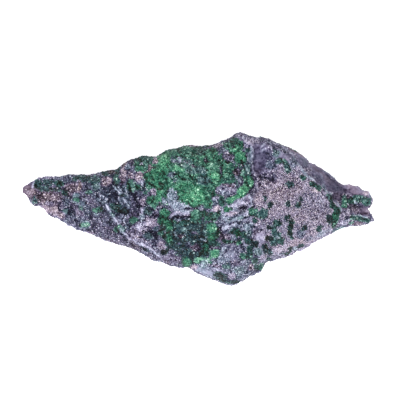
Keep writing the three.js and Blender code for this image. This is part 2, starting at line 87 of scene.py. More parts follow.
# ------------------------------------------------------------------ noise
def _hash(ix, iy, iz, seed):
    h = (ix.astype(np.int64) * 374761393 + iy.astype(np.int64) * 668265263
         + iz.astype(np.int64) * 1274126177 + seed * 362437) & 0xFFFFFFFF
    h = h.astype(np.uint64)
    h ^= h >> np.uint64(15)
    h = (h * np.uint64(2246822519)) & np.uint64(0xFFFFFFFF)
    h ^= h >> np.uint64(13)
    h = (h * np.uint64(3266489917)) & np.uint64(0xFFFFFFFF)
    h ^= h >> np.uint64(16)
    return h


def _unit(h):
    return h.astype(np.float64) / 4294967295.0


def turned(p, seed):
    """The points turned by an amount of their own per seed, so that no pattern lines up with the axes."""
    a, b = 0.9 + 2.399 * seed, 0.62 + 0.45 * ((0.618 * seed) % 1.0)
    ca, sa, cb, sb = math.cos(a), math.sin(a), math.cos(b), math.sin(b)
    return p @ np.array([[ca, -sa * cb, sa * sb], [sa, ca * cb, -ca * sb], [0.0, sb, cb]])


def noise(p, size, seed):
    """Gradient noise, about -1 to 1, with features of the given size in mm."""
    q = turned(p, seed) / size + seed * 17.13
    i = np.floor(q).astype(np.int64)
    f = q - i
    w = f * f * f * (f * (f * 6 - 15) + 10)
    out = np.zeros(len(p))
    for dx in (0, 1):
        for dy in (0, 1):
            for dz in (0, 1):
                h = _hash(i[:, 0] + dx, i[:, 1] + dy, i[:, 2] + dz, seed)
                gx = (h & np.uint64(1023)).astype(np.float64) / 511.5 - 1
                gy = ((h >> np.uint64(10)) & np.uint64(1023)).astype(np.float64) / 511.5 - 1
                gz = ((h >> np.uint64(20)) & np.uint64(1023)).astype(np.float64) / 511.5 - 1
                d = gx * (f[:, 0] - dx) + gy * (f[:, 1] - dy) + gz * (f[:, 2] - dz)
                k = ((w[:, 0] if dx else 1 - w[:, 0]) * (w[:, 1] if dy else 1 - w[:, 1])
                     * (w[:, 2] if dz else 1 - w[:, 2]))
                out += k * d
    return out * 1.35


def fbm(p, size, seed, octaves=4, gain=0.5):
    out, amp, total = np.zeros(len(p)), 1.0, 0.0
    for k in range(octaves):
        out += amp * noise(p, size / 2 ** k, seed + k)
        total += amp
        amp *= gain
    return out / total


def facets(p, size, seed):
    """Broken facets: each cell of random shape is a tilted plane.  Returns height and edge nearness."""
    q = turned(p, seed) / size
    i = np.floor(q).astype(np.int64)
    best = np.full(len(p), 1e9)
    second = np.full(len(p), 1e9)
    tilt = np.zeros(len(p))
    for dx in (-1, 0, 1):
        for dy in (-1, 0, 1):
            for dz in (-1, 0, 1):
                cx, cy, cz = i[:, 0] + dx, i[:, 1] + dy, i[:, 2] + dz
                h = _hash(cx, cy, cz, seed)
                h2 = _hash(cx, cy, cz, seed + 91)
                px = cx + _unit(h)
                py = cy + (h2 & np.uint64(65535)).astype(np.float64) / 65535
                pz = cz + (h2 >> np.uint64(16)).astype(np.float64) / 65535
                d = (q[:, 0] - px) ** 2 + (q[:, 1] - py) ** 2 + (q[:, 2] - pz) ** 2
                h3 = _hash(cx, cy, cz, seed + 177)
                gx = (h3 & np.uint64(1023)).astype(np.float64) / 511.5 - 1
                gy = ((h3 >> np.uint64(10)) & np.uint64(1023)).astype(np.float64) / 511.5 - 1
                gz = ((h3 >> np.uint64(20)) & np.uint64(1023)).astype(np.float64) / 511.5 - 1
                t = gx * (q[:, 0] - px) + gy * (q[:, 1] - py) + gz * (q[:, 2] - pz) + 0.35 * (2 * _unit(h2) - 1)
                near = d < best
                second = np.where(near, best, np.minimum(second, d))
                tilt = np.where(near, t, tilt)
                best = np.where(near, d, best)
    return tilt, np.clip((np.sqrt(second) - np.sqrt(best)) * 2, 0, 1)


def step(a, b, x):
    t = np.clip((x - a) / (b - a), 0, 1)
    return t * t * (3 - 2 * t)



# ------------------------------------------------------------------ places on the plan grid
def wandered(x, y, amount=1.0):
    """Plan grid places, moved a little by noise, so that nothing has a drawn edge."""
    p = np.stack([x, y, np.zeros_like(x)], 1)
    c, r = grid_of(x, y)
    c = c + amount * (1.3 * noise(p, 1.5, 301) + 0.9 * noise(p, 0.6, 302))
    r = r + amount * (1.3 * noise(p, 1.5, 303) + 0.9 * noise(p, 0.6, 304))
    return c, r


def blob(c, r, cx, cy, rx, ry, angle=0.0, soft=0.45):
    """1 inside an ellipse on the plan grid (angle anticlockwise as seen), 0 outside."""
    a = math.radians(angle)
    u = (c - cx) * math.cos(a) - (r - cy) * math.sin(a)
    v = (c - cx) * math.sin(a) + (r - cy) * math.cos(a)
    return step(1 + soft, 1 - soft, np.sqrt((u / rx) ** 2 + (v / ry) ** 2))


def line_near(c, r, points, half):
    """Bell-shaped nearness to a line of points on the plan grid."""
    best = np.full(len(c), 1e9)
    for (ax, ay), (bx, by) in zip(points[:-1], points[1:]):
        dx, dy = bx - ax, by - ay
        t = np.clip(((c - ax) * dx + (r - ay) * dy) / (dx * dx + dy * dy), 0, 1)
        best = np.minimum(best, (c - ax - t * dx) ** 2 + (r - ay - t * dy) ** 2)
    return np.exp(-best / (half * half))


def inward(c, r, points):
    """Distance into a polygon on the plan grid, negative outside it."""
    inside = np.zeros(len(c), bool)
    dist = np.full(len(c), 1e9)
    for k in range(len(points)):
        (ax, ay), (bx, by) = points[k], points[(k + 1) % len(points)]
        dx, dy = bx - ax, by - ay
        t = np.clip(((c - ax) * dx + (r - ay) * dy) / (dx * dx + dy * dy), 0, 1)
        dist = np.minimum(dist, (c - ax - t * dx) ** 2 + (r - ay - t * dy) ** 2)
        inside ^= ((ay > r) != (by > r)) & (c < dx * (r - ay) / (dy if dy else 1e-9) + ax)
    return np.where(inside, 1, -1) * np.sqrt(dist)


# Shapes of the broken surface: (line, half width in plan units, height in mm)
RELIEF_LINES = [
    # the pale seam that runs down the left arm
    ([(108, 202), (112, 210), (116, 217), (121.6, 227.5), (127.5, 235.6), (138.7, 242.5), (151, 248), (160, 256)], 1.6, 0.46),
    ([(103, 206), (108, 215), (115, 226), (122, 235), (134, 243), (148, 251)], 2.4, -0.16),
    ([(116, 186), (121, 192), (126, 198)], 1.4, 0.30),
    # crevices of the left arm
    ([(117, 171), (118, 178), (117, 185)], 2.2, -0.65),
    ([(131, 186), (134, 193), (138, 199), (141, 206)], 2.2, -0.80),
    ([(117, 196), (119, 204), (121, 213)], 3.0, -0.65),
    ([(98, 190), (103, 197), (105, 204)], 2.4, -0.40),
    ([(66, 192), (72, 199), (73, 208)], 2.0, -0.45),
    ([(86, 196), (88, 204), (93, 211)], 2.2, -0.45),
    ([(56, 196), (64, 199), (76, 197)], 1.8, -0.35),
    ([(36, 194), (45, 199), (55, 202)], 1.8, -0.35),
    ([(144, 232), (151, 231), (158, 235)], 2.2, -1.0),
    # the ledge and the crevice below the crown
    ([(156, 214), (164, 216), (172, 219), (177, 216.6), (184, 218.4), (191, 216)], 2.0, -1.0),
    ([(173.5, 213.5), (178, 211.6), (184, 213.4), (190.5, 211.4)], 1.8, 0.50),
    ([(168, 220), (177, 223.4), (186, 219.4), (194, 222), (203, 217.6)], 1.8, -0.32),
    # gaps inside the crown
    ([(149, 183), (155, 186), (160, 189)], 1.8, -0.7),
    ([(168, 181), (170, 187), (169, 192)], 1.8, -0.7),
    ([(189, 174), (193, 180), (196, 186)], 1.6, -0.6),
    ([(201, 150), (205, 157), (207, 163)], 1.8, -0.6),
    ([(219, 161), (222, 171), (221, 181)], 1.8, -0.55),
    ([(240, 160), (242, 168), (240, 176)], 2.2, -0.6),
    ([(251, 146), (251.6, 158), (252, 172)], 1.5, 0.22),
    ([(172, 172), (178, 177), (186, 180)], 1.5, -0.35),
    # the ribs between the crown and the knob
    ([(222, 228.5), (232, 223), (243, 216), (251, 211)], 2.1, 0.75),
    ([(230, 207.5), (240, 201), (250, 195.5)], 2.6, 0.75),
    ([(225, 222), (235, 215.5), (245, 209)], 1.6, -0.75),
    ([(226, 234), (238, 228), (247, 222)], 1.5, -0.5),
    ([(218, 212), (222, 221), (220, 232)], 2.0, -0.6),
    # round the knob
    ([(214, 264), (220, 253), (228, 244), (237, 240)], 1.9, -0.60),
    ([(237, 232), (240, 243), (246, 256), (253, 268)], 1.8, -0.45),
    ([(192, 262), (203, 267), (213, 270.5)], 1.6, -0.30),
    # the lip of the bare hollow, and the slab's upper corner
    ([(261, 178), (269, 181), (277, 178.5)], 3.2, -0.34),
    ([(252, 182), (262, 186), (272, 186.5)], 1.6, 0.30),
    ([(262, 142), (268, 150), (273, 158), (277, 163)], 1.3, 0.35),
    ([(267, 139), (280, 147.5), (290, 155), (300, 163), (310, 170)], 1.3, 0.30),
    ([(282, 154), (290, 163), (300, 171), (310, 180), (318, 187), (324, 193), (331, 201), (339, 209)], 1.3, 0.45),
    ([(279, 160), (286, 166), (296, 174)], 1.4, -0.30),
    # the two prongs
    ([(342, 207), (352, 207.5), (362, 206.5), (368, 207)], 1.6, -0.15),
    ([(344, 216), (354, 214.5), (366, 213.5)], 1.5, -0.20),
    ([(340, 196), (352, 194.5), (366, 198)], 1.4, -0.15),
    # cracks across the slab's lower end
    ([(266, 246), (268, 254), (266, 262)], 1.5, -0.5),
]
RELIEF_BLOBS = [
    (182, 201, 11, 9, -20, -0.95), (224, 191, 11, 7, 10, -0.75), (226, 159, 5.5, 7, -30, -0.35), (236, 172, 3.6, 4, 0, -0.2),
    (179, 161, 8, 4.5, 0, -0.45), (176, 174, 5.5, 5.5, 0, -0.3), (164, 251, 4.2, 3.6, 25, -1.1), (242.5, 208, 4.6, 3.2, 15, -0.9),
    (257, 160, 8.5, 13, -12, -0.9), (207, 161.5, 2.8, 3.2, 0, -0.35), (163, 163, 6, 8, 30, 0.55), (194, 194, 14, 10, 15, 0.6),
    (214, 172, 4.5, 10, 0, 0.5), (238, 154, 5, 7, 20, 0.45), (242, 193, 6, 4, 35, 0.5), (231, 199, 6, 3, 25, 0.4),
    (211, 231, 5.5, 9, 0, 0.55), (169, 229, 4, 11, 0, 0.45), (187, 262, 4.6, 5, 0, 0.35), (226, 252, 8, 8, 0, 0.5),
    (203, 234, 10, 14, 0, -0.35), (255, 214, 9, 6, 10, 0.35), (275, 234, 6, 9, 0, 0.25), (245, 246, 6, 11, 20, 0.4),
    (259, 239, 5.5, 6.5, 0, -0.15), (48, 185, 9, 4, 8, 0.35), (78, 187, 8, 5, 20, 0.3), (84, 216, 9, 5, -30, 0.35),
    (142, 224, 10, 7, -30, 0.45), (140, 181, 5, 4, 20, 0.4), (127, 211, 5, 4, 0, -0.4), (110, 196, 6, 9, 20, 0.3),
]
# Bumps of the outline: (cx, cy, rx, ry, mm outward along Y)
RIM = [(33.5, 201, 5, 6, 0, -0.32), (39, 207, 6, 3.6, 0, 0.52), (64, 222, 6, 4, 0, -0.3), (190, 268, 5, 4, 0, 0.3), (46, 209, 6, 5, 0, -0.35), (54, 214, 5, 4, 0, -0.2), (155, 259, 6, 5, 0, -0.30), (270, 258, 12, 6, 0, -0.25),
       (306, 244, 11, 6, 0, -0.45), (362, 222, 9, 4, 0, 0.0), (354, 187, 8, 4, 0, 0.55), (370, 193, 4, 4, 0, 0.60), (150, 156, 9, 4, 0, 0.28),
       (27, 197, 4.5, 4, 0, 0.50), (52, 178, 23, 5, 0, 0.34), (80, 176, 14, 5, 0, 0.2), (202, 277, 7, 5, 0, 0.28), (266, 261, 3.6, 3.6, 0.2, 0.45),
       (263, 269, 4, 4, 0.1, -0.40), (289, 254, 8, 4, 0, -0.40), (325, 172, 14, 5, 0, 0.36), (362, 191, 7, 4, 0, 0.28), (366, 210, 3.4, 3.2, 0.40, 0),
       (371, 214, 3, 3, -0.1, -0.25), (305, 157, 4, 4, 0, 0.12), (313, 165, 4, 3.6, 0, 0.22), (238, 282, 5, 4, 0, 0.25)]
SLAB = [(253, 188), (262, 187), (272, 187), (279, 181), (277, 172), (281, 166), (291, 171), (300, 178.5), (309, 187.5), (319, 198),
        (328, 207), (333, 215), (333, 225), (330, 233), (309, 243), (287, 252.5), (268, 259), (262, 262), (262, 250), (264, 240), (262, 228), (257, 217), (252, 204)]

# The face of the specimen, mark by mark: each lies over the ones before it.
#   "r"  rock: (cx, cy, rx, ry, turn) and tone, hue, skin.  Tone 0 dark to 1 pale; hue 0 teal grey, 0.25 blue grey,
#        0.5 violet, 0.75 rosy, 1 beige; skin 0 granular to 1 smooth
#   "g"  garnet crust: (cx, cy, rx, ry, turn) and tint 0 dark to 1 mint, green 0 teal grey to 1 emerald, cover
#   "R" and "G" are the same along a line of points with a half width
MARKS = [
    # ---- broad fields
    ("r", 60, 197, 36, 13, 0, 0.32, 0.57, 0), ("r", 100, 214, 36, 21, -28, 0.25, 0.47, 0), ("r", 121, 194, 24, 24, 0, 0.11, 0.34, 0),
    ("r", 112, 232, 36, 9, -24, 0.28, 0.44, 0), ("r", 102, 227, 15, 6.5, -26, 0.43, 0.5, 0), ("r", 140, 225, 22, 26, -20, 0.26, 0.5, 0),
    ("r", 300, 158, 66, 20, -30, 0.57, 0.5, 0.9), ("r", 352, 205, 22, 18, 0, 0.52, 0.6, 0.3), ("g", 190, 176, 46, 29, 5, 0.48, 0.7, 1),
    ("g", 190, 240, 26, 24, 0, 0.24, 0, 0.8), ("r", 236, 216, 17, 17, 0, 0.7, 0.36, 0.2), ("r", 232, 260, 22, 20, 0, 0.46, 0.38, 0.2),
    ("r", 292, 210, 42, 44, -35, 0.76, 0.64, 0),
    # ---- tip of the left arm
    ("r", 27, 190, 8, 8, 0, 0.19, 0.8, 0.9), ("r", 31, 192, 5, 4.4, 0, 0.45, 0.8, 0.15),
    ("R", [(37, 178), (34.4, 182.4), (33, 187)], 1.1, 0.84, 0.4, 0.8), ("g", 38.6, 184, 5, 4.6, 20, 0.18, 0.118, 0.75),
    ("r", 50.4, 180.6, 7, 5, 0, 0.24, 0.37, 0.1), ("g", 50, 183, 6, 3.4, 0, 0.08, 0.028, 0.7), ("r", 51, 177.4, 6.5, 1.5, 0, 0.52, 0.5, 0.3),
    ("g", 44, 188.6, 6.5, 2.6, 0, 0.18, 0.028, 0.74), ("g", 55.4, 189.6, 8.5, 1.8, -3, 0.03, 0, 0.74),
    ("g", 60.6, 183.6, 4.6, 3.8, 0, 0.22, 0.294, 0.9), ("r", 70, 181, 6.4, 3.6, 0, 0, 0.37, 0.1), ("g", 77.4, 179.4, 3.8, 2.6, 0, 0.17, 0.165, 0.74),
    ("r", 73.4, 189.4, 8.5, 6, 8, 0.22, 0.77, 0), ("r", 48, 198, 14, 6.4, 0, 0.37, 0.8, 0), ("g", 65.6, 193, 2.8, 3.4, 0, 0.13, 0.099, 0.74),
    ("g", 34.6, 200.6, 4, 4.2, 0, 0.36, 0.04, 0.6), ("r", 46.4, 209, 5.4, 3, -38, 0.64, 0.8, 0.4), ("r", 54, 210, 5.6, 5.6, -20, 0.58, 0.8, 0.3),
    ("r", 50, 203.6, 5, 2.6, 0, 0.52, 0.55, 0.3), ("R", [(58, 206.8), (60, 209.4), (62.2, 212.2)], 0.95, 0, 0.5, 0.4),
    ("r", 65.6, 211.6, 4, 3.4, 0, 0.41, 0, 0.8), ("r", 70.6, 213, 3.2, 2.8, 0, 0, 0.32, 0.1), ("r", 61.5, 215.6, 4.4, 3.4, -35, 0.53, 0.8, 0.3),
    ("r", 67.6, 201, 4.4, 4.6, 0, 0.38, 0.36, 0), ("g", 78, 200.4, 4, 2.2, -20, 0.5, 0.6, 0.85),
    ("R", [(73, 201.6), (77, 203.4), (82, 206)], 1.1, 0.74, 0.12, 0.3), ("r", 77.4, 195.4, 3.6, 2.8, 0, 0.56, 0.13, 0.6),
    ("r", 79, 218, 6.5, 6, -20, 0.52, 0.4, 0), ("r", 80.6, 212.6, 5.4, 4.6, -15, 0.48, 0.56, 0),
    # ---- middle of the arm, upper part
    ("g", 85, 178, 7.5, 2, 0, 0.25, 0.099, 0.74), ("g", 88.6, 180.6, 5.4, 2.8, 0, 0.19, 0.04, 0.74), ("r", 82, 187, 2, 5.4, 0, 0.28, 0.97, 0.3),
    ("r", 88.6, 187, 4, 5, 0, 0.12, 0.4, 0), ("g", 90.6, 192.4, 3, 2.2, 0, 0.07, 0.198, 0.74), ("g", 94.2, 193, 2.2, 2.8, 15, 0.54, 0.48, 0.74),
    ("r", 98.6, 187, 4.2, 3.4, 0, 0.38, 0, 0.4), ("g", 97, 180, 4.8, 4.2, 10, 0.38, 0.059, 0.74), ("r", 98.6, 196, 5.4, 5.4, 0, 0.46, 0.35, 0),
    ("r", 99, 196.6, 2, 2.4, 0, 0, 0.35, 0.1), ("r", 108.6, 182, 5.8, 4.8, 10, 0.51, 0.82, 0), ("g", 106.6, 173.6, 4.4, 2.6, 0, 0.14, 0.132, 0.74),
    ("r", 113.6, 172, 3.6, 2.2, 15, 0.02, 0.9, 0.1), ("g", 118.6, 170, 3.6, 3, 30, 0.18, 0.099, 0.74),
    ("g", 118.6, 178.4, 2.7, 7.6, -5, 0.3, 0.248, 0.74), ("r", 125, 176, 3.8, 9.4, -3, 0.52, 0.74, 0), ("r", 129, 167, 3.2, 3, 0, 0.62, 0.22, 0.4),
    ("r", 131.4, 161.6, 4, 3, 5, 0.04, 0.5, 0.1), ("r", 126, 165, 3.4, 1.8, 40, 0.14, 0.92, 0.1), ("r", 132.4, 176, 3.4, 4.4, 0, 0.53, 0.7, 0.1),
    ("g", 133, 186, 3.8, 6.2, 0, 0.48, 0.4, 0.95), ("g", 135.4, 188, 2.4, 2.6, 0, 0.62, 0.28, 0.8),
    ("G", [(130, 183.6), (131, 188), (132.4, 191.6)], 0.9, 0.04, 0.7, 1), ("r", 114, 195, 7.4, 9.4, 0, 0, 0.35, 0.2),
    ("R", [(117, 187), (119.4, 191.4), (122, 196)], 1.1, 0.86, 0.28, 0.4), ("R", [(120.6, 187), (122.4, 191), (124, 195)], 1.1, 0.66, 0.28, 0.3),
    ("r", 126, 188.6, 2.6, 4, 10, 0.33, 0.25, 0.2), ("r", 106, 199.4, 4.6, 4, 0, 0.35, 0.32, 0), ("r", 126, 202.4, 7, 6.4, 0, 0.16, 0.3, 0.1),
    ("R", [(121, 198.6), (125, 203.4), (128.4, 208)], 1.1, 0.78, 0.3, 0.3), ("R", [(125.6, 198), (129.4, 203), (131.6, 207)], 1.1, 0.7, 0.3, 0.3),
    ("R", [(123, 200), (126.6, 205), (129, 209)], 0.95, 0, 0.3, 0.3), ("r", 125.6, 195.4, 4, 1.5, 0, 0, 0, 0.2),
    ("r", 91, 203, 6.4, 5.4, 0, 0.34, 0.5, 0), ("r", 84, 203.4, 4.4, 3.2, -20, 0.4, 0.25, 0.6), ("r", 108.6, 206, 4.6, 3.6, 0, 0.15, 0.3, 0.5),
    ("g", 115, 206, 2.4, 3.2, 0, 0.24, 0.15, 0.9),
    # ---- middle of the arm, lower part
    ("g", 81.6, 208, 2.8, 2.2, 0, 0.46, 0.2, 0.6), ("r", 89, 211, 3.6, 5, 0, 0.48, 0.36, 0.1), ("g", 97.2, 210.4, 3, 2.3, -20, 0.56, 0.6, 0.9),
    ("g", 102.6, 209, 2.8, 2.3, 0, 0.1, 0.5, 1), ("R", [(95.4, 212.4), (98, 214), (101, 214.6)], 1.1, 0.64, 0.12, 0.3),
    ("r", 91.4, 217.6, 2.6, 2.6, 0, 0, 0.45, 0.1), ("r", 98.4, 219, 2.6, 3.4, 0, 0.46, 0.42, 0.1), ("r", 106.6, 218.4, 3.2, 2, 0, 0.48, 0.42, 0.1),
    ("r", 106.6, 225, 2.4, 3, 0, 0.53, 0.4, 0.2), ("r", 112, 222, 3, 4, 0, 0.02, 0.3, 0.1), ("r", 114, 234, 15, 4.4, -24, 0.31, 0.5, 0),
    ("g", 85.2, 225, 6, 2.5, 0, 0.86, 0.48, 0.95), ("R", [(80, 222.6), (85, 222), (90, 222.6)], 1.1, 0.72, 0.18, 0.2),
    ("R", [(80.4, 227.6), (85, 228.6), (89, 228)], 1.1, 0.56, 0.08, 0.2), ("r", 94.4, 228, 3.6, 3.6, 0, 0.16, 0.46, 0.1),
    ("r", 91, 233, 5.4, 1.3, -15, 0.5, 0.6, 0.4), ("r", 107, 240, 13, 1.6, -14, 0.26, 0.62, 0),
    ("R", [(105.8, 207), (110.2, 214.6), (114.4, 221.4), (119.8, 229.6), (125.8, 235.4)], 1.3, 0.2, 0.4, 0.1),
    ("R", [(108.7, 205), (112.2, 210.5), (115.8, 216.5), (119.4, 222.6), (122.2, 228.2), (126.2, 233.2), (129.8, 237)], 1.25, 0.95, 0.42, 0.85),
    ("r", 114.6, 214, 2.2, 3, 20, 0.34, 0.1, 0.5), ("g", 119.6, 208.4, 2.8, 3.6, 0, 0.08, 0.2, 1), ("r", 126.4, 211, 5.4, 3.2, 0, 0.21, 0, 0.9),
    ("r", 124, 218, 4.8, 4, -10, 0.4, 0.36, 0), ("g", 121, 226.4, 2.8, 1.9, 30, 0.46, 0.5, 0.8), ("r", 124.8, 228.4, 2.8, 2.8, 0, 0.66, 0, 0.1),
    ("g", 117.6, 229.4, 2.6, 2.8, 0, 0.26, 0.45, 0.7), ("g", 133.4, 221, 3.2, 3, 0, 0.18, 0.4, 0.7), ("r", 127.4, 239, 3.8, 3.2, 0, 0, 0.5, 0),
    ("r", 130, 226, 3, 4, 0, 0.12, 0.25, 0),
    # ---- between the arm and the crown
    ("g", 141.6, 160, 6.4, 3.4, 15, 0.14, 0.3, 0.95), ("g", 148.6, 160.6, 4, 3.6, 0, 0.3, 0.3, 0.95), ("g", 138.4, 165.4, 2.8, 2.6, 0, 0.18, 0.7, 1),
    ("g", 142, 169.6, 4.6, 3.4, 15, 0.52, 0.75, 0.95), ("g", 147, 166, 3, 3.4, 0, 0.58, 0.35, 0.9), ("r", 152, 168.4, 2.8, 2.8, 0, 0.34, 0.86, 0.1),
    ("r", 157.4, 161.4, 3.2, 3.4, 0, 0.66, 0.76, 0.1), ("r", 150.4, 173, 3.4, 2, 0, 0.42, 0.9, 0.1), ("r", 141, 177, 4.2, 5.4, -20, 0.64, 0.8, 0.4),
    ("r", 144.4, 183, 2.7, 3.4, -15, 0.66, 0.4, 0.4), ("g", 139.4, 188, 2.8, 2.2, 0, 0.1, 0.6, 1), ("r", 146.2, 188, 1.6, 4.6, 0, 0.02, 0.12, 0.2),
    ("g", 155, 176.6, 7.4, 4.6, 0, 0.47, 0.95, 1), ("g", 153.2, 185.4, 3.2, 2.2, -38, 0.16, 0.55, 1),
    ("r", 155.4, 191.6, 3.8, 3.2, 0, 0.56, 0.66, 0), ("r", 151.4, 193.6, 2, 2.6, 0, 0.26, 0.58, 0.1), ("r", 137, 198.6, 3, 5, -15, 0.11, 0.42, 0.3),
    ("R", [(132.6, 191.6), (134.6, 195), (137, 199)], 1.3, 0, 0.5, 0.3), ("r", 145, 202, 2.8, 4.2, 0, 0.59, 0.6, 0),
    ("r", 142.6, 210.6, 2.6, 4.4, 15, 0.65, 0.48, 0), ("r", 138.6, 209, 2.4, 5, 0, 0.13, 0.42, 0), ("g", 153.6, 200.6, 4.8, 4.4, 0, 0.24, 0.8, 1),
    ("g", 160, 199, 3.4, 3, 0, 0.66, 0.92, 1), ("r", 150, 211, 4.6, 5, 0, 0.2, 0.02, 0.1), ("r", 153, 208, 3, 2, 0, 0.02, 0.4, 0.1),
    ("r", 143.6, 216.6, 3.4, 2.8, 0, 0.62, 0.25, 0.4), ("r", 151.6, 221.4, 5, 4.8, 0, 0.84, 0.61, 0), ("r", 142, 227, 5.4, 5.4, 0, 0.76, 0.52, 0),
    ("g", 136.6, 219.8, 4.2, 2.4, 0, 0.26, 0.55, 0.8), ("r", 140, 236.4, 10, 3.8, -12, 0.64, 0.57, 0), ("r", 147.6, 244, 6.4, 4, -20, 0.66, 0.52, 0),
    ("r", 149.6, 234.8, 5.2, 3.2, 0, 0.13, 0.04, 0.5), ("r", 157, 234.6, 2.4, 4.2, 0, 0, 0.5, 0.3),
    ("R", [(144.6, 230.2), (150, 230.6), (156, 231.6)], 0.95, 0, 0.4, 0.3), ("R", [(139, 237), (144, 236.6)], 0.95, 0.04, 0.66, 0.1),
    ("r", 157.4, 228, 3, 2.2, 0, 0.46, 0.08, 0.5), ("r", 147, 249.2, 5, 2.4, -20, 0.04, 0.15, 0.1), ("r", 138, 247, 7, 2.4, -22, 0.13, 0.64, 0),
    ("r", 155, 256.4, 6, 2.8, -25, 0.22, 0.55, 0), ("r", 163, 244.6, 4.2, 4.4, 0, 0.56, 0.62, 0), ("r", 164, 258, 4.4, 3.2, -32, 0.64, 0.5, 0.1),
    ("R", [(129, 237.4), (135, 240.6), (142, 243.4), (150, 247)], 1.2, 0.82, 0.5, 0.6),
    ("R", [(150, 247), (155.6, 251.4), (160, 256), (163, 260)], 1.1, 0.84, 0.45, 0.7), ("g", 165, 251.2, 4.5, 2.7, 20, 0, 0.05, 1),
    # ---- crown: left side
    ("g", 166, 161, 6.6, 7.4, 25, 0.7, 1, 1), ("g", 163, 170.4, 5, 4, 0, 0.6, 1, 1), ("g", 163, 177, 3.4, 4.6, 0, 0.37, 0.9, 1),
    ("g", 157, 181.6, 3.6, 2.2, -35, 0.63, 0.9, 1), ("g", 163.4, 186.4, 2.7, 4.4, 0, 0.08, 0.75, 1), ("g", 158.4, 186.4, 2.4, 2.6, 0, 0.67, 0.85, 1),
    ("g", 161, 191.6, 3, 4.2, 0, 0.54, 0.95, 1), ("g", 167.4, 193.4, 2.4, 4.8, 0, 0.2, 0.8, 1), ("g", 156, 204.6, 4, 2.2, 0, 0.56, 0.55, 1),
    ("g", 151, 179, 3.4, 3, 0, 0.31, 0.85, 1),
    # ---- crown: top
    ("g", 184, 152.4, 11, 4.2, 0, 0.53, 0.52, 0.85), ("g", 181, 151.4, 3, 2, 0, 0.41, 0.52, 0.85), ("r", 192.4, 146, 5.4, 1.8, -5, 0.5, 0.76, 0.2),
    ("g", 200.6, 153.6, 5, 3.6, 0, 0.43, 0.32, 0.85), ("r", 207.6, 149, 4.6, 1.6, 12, 0.34, 0.46, 0.2), ("r", 217, 147, 6.4, 1.9, 10, 0.7, 0.7, 0.1),
    ("g", 214, 152.4, 3.8, 1.8, 0, 0.28, 0.8, 1), ("g", 211, 157.4, 5, 3.2, 0, 0.64, 0.75, 1), ("r", 221.4, 152.4, 4.4, 2.6, 0, 0.42, 0.28, 0.1),
    ("g", 227.6, 145.6, 3.6, 2.3, 0, 0.52, 0.35, 1), ("g", 237, 142.6, 3.6, 2.8, 0, 0.34, 0.45, 1), ("g", 235.4, 152.6, 3.2, 3.6, 0, 0.52, 1, 1),
    ("g", 240, 158.6, 6, 5, 20, 0.62, 1, 1), ("g", 237, 160, 1.6, 3, 0, 0.34, 1, 1), ("r", 235.4, 173, 3.2, 3.6, 0, 0.32, 0.75, 0.1),
    ("r", 227.4, 158, 5.6, 4.2, -35, 0.56, 0.55, 0.1), ("g", 227.6, 147, 4.4, 4.2, 0, 0.5, 0.42, 1), ("g", 234.4, 143.4, 4.6, 3.6, 0, 0.2, 0.55, 1),
    ("g", 240.6, 147.4, 3.2, 4, 0, 0.26, 0.75, 1), ("g", 230.4, 152, 2.6, 2.8, 0, 0.53, 0.7, 1), ("g", 236, 149.6, 2.6, 3.2, 0, 0.45, 0.95, 1),
    ("g", 241.4, 164.6, 2.6, 2.4, 0, 0, 0.3, 1), ("r", 178.6, 161, 8, 4, 0, 0.68, 0.25, 0.2), ("r", 186, 165.2, 5, 2.2, -15, 0.68, 0.6, 0.1),
    ("g", 181, 169.6, 7, 2.6, -4, 0.89, 0.95, 1), ("r", 193, 168.4, 3.6, 2.8, 0, 0.5, 0.58, 0.05), ("g", 176, 158.6, 5.4, 2.6, 0, 0.5, 0.3, 0.5),
    ("g", 188, 163.4, 7, 4, -20, 0.71, 0.22, 0.44), ("g", 199.6, 166, 2.4, 3, 0, 0.58, 0.6, 1), ("g", 184, 167, 8, 2.6, -12, 0.73, 0.22, 0.66),
    ("g", 192, 172, 6, 3.4, 0, 0.55, 0.14, 0.95), ("g", 199.4, 171, 4.2, 4.4, 0, 0.49, 0.12, 1), ("r", 206, 161.8, 2.2, 2.8, 0, 0.3, 0.62, 0.4),
    ("g", 175.4, 179.6, 5, 2.6, 0, 0.5, 0.3, 0.62), ("r", 173, 176, 4.6, 3.6, 0, 0.48, 0.15, 0.3), ("g", 183, 178, 7.4, 2.8, -5, 0.32, 0.6, 1),
    ("g", 204, 172.6, 4.4, 3.4, 0, 0.66, 0, 0.9),
    # ---- crown: heart, right side and hollows
    ("r", 173.6, 196, 5.52, 8, -10, 0.68, 0.3, 0.2), ("r", 182, 206.4, 10.35, 6, -10, 0.97, 0.3, 0.35),
    ("r", 173.6, 197, 1.9, 2.8, 0, 0.87, 0.3, 0.3), ("r", 166.6, 200.6, 3, 2.6, 0, 0.58, 0.24, 0.25),
    ("r", 188.4, 208.4, 4.2, 1.4, -3, 0.16, 0.46, 0.3), ("g", 196, 194.4, 16.5, 9.6, 12, 0.53, 0.95, 1), ("g", 195.4, 198, 9, 6, 0, 0.67, 1, 1),
    ("g", 184.4, 187.4, 7.4, 4.4, 0, 0.46, 0.95, 1), ("g", 209, 192, 5, 8, 0, 0.5, 0.65, 1), ("g", 203.6, 181.4, 7.4, 5.2, 0, 0.59, 0.08, 1),
    ("g", 214.6, 177.6, 4.2, 4.4, 0, 0.74, 0.97, 1), ("g", 213.6, 169, 5, 4.8, 0, 0.7, 0.62, 1), ("g", 224.8, 171.6, 2.8, 6.6, 0, 0.62, 0.65, 1),
    ("g", 226, 181.6, 3.8, 2.2, 0, 0.38, 0.45, 1), ("r", 220, 172, 1.5, 6, 0, 0.48, 0.4, 0.2), ("r", 237.6, 179.4, 3.4, 2.6, 0, 0.62, 0.3, 0.1),
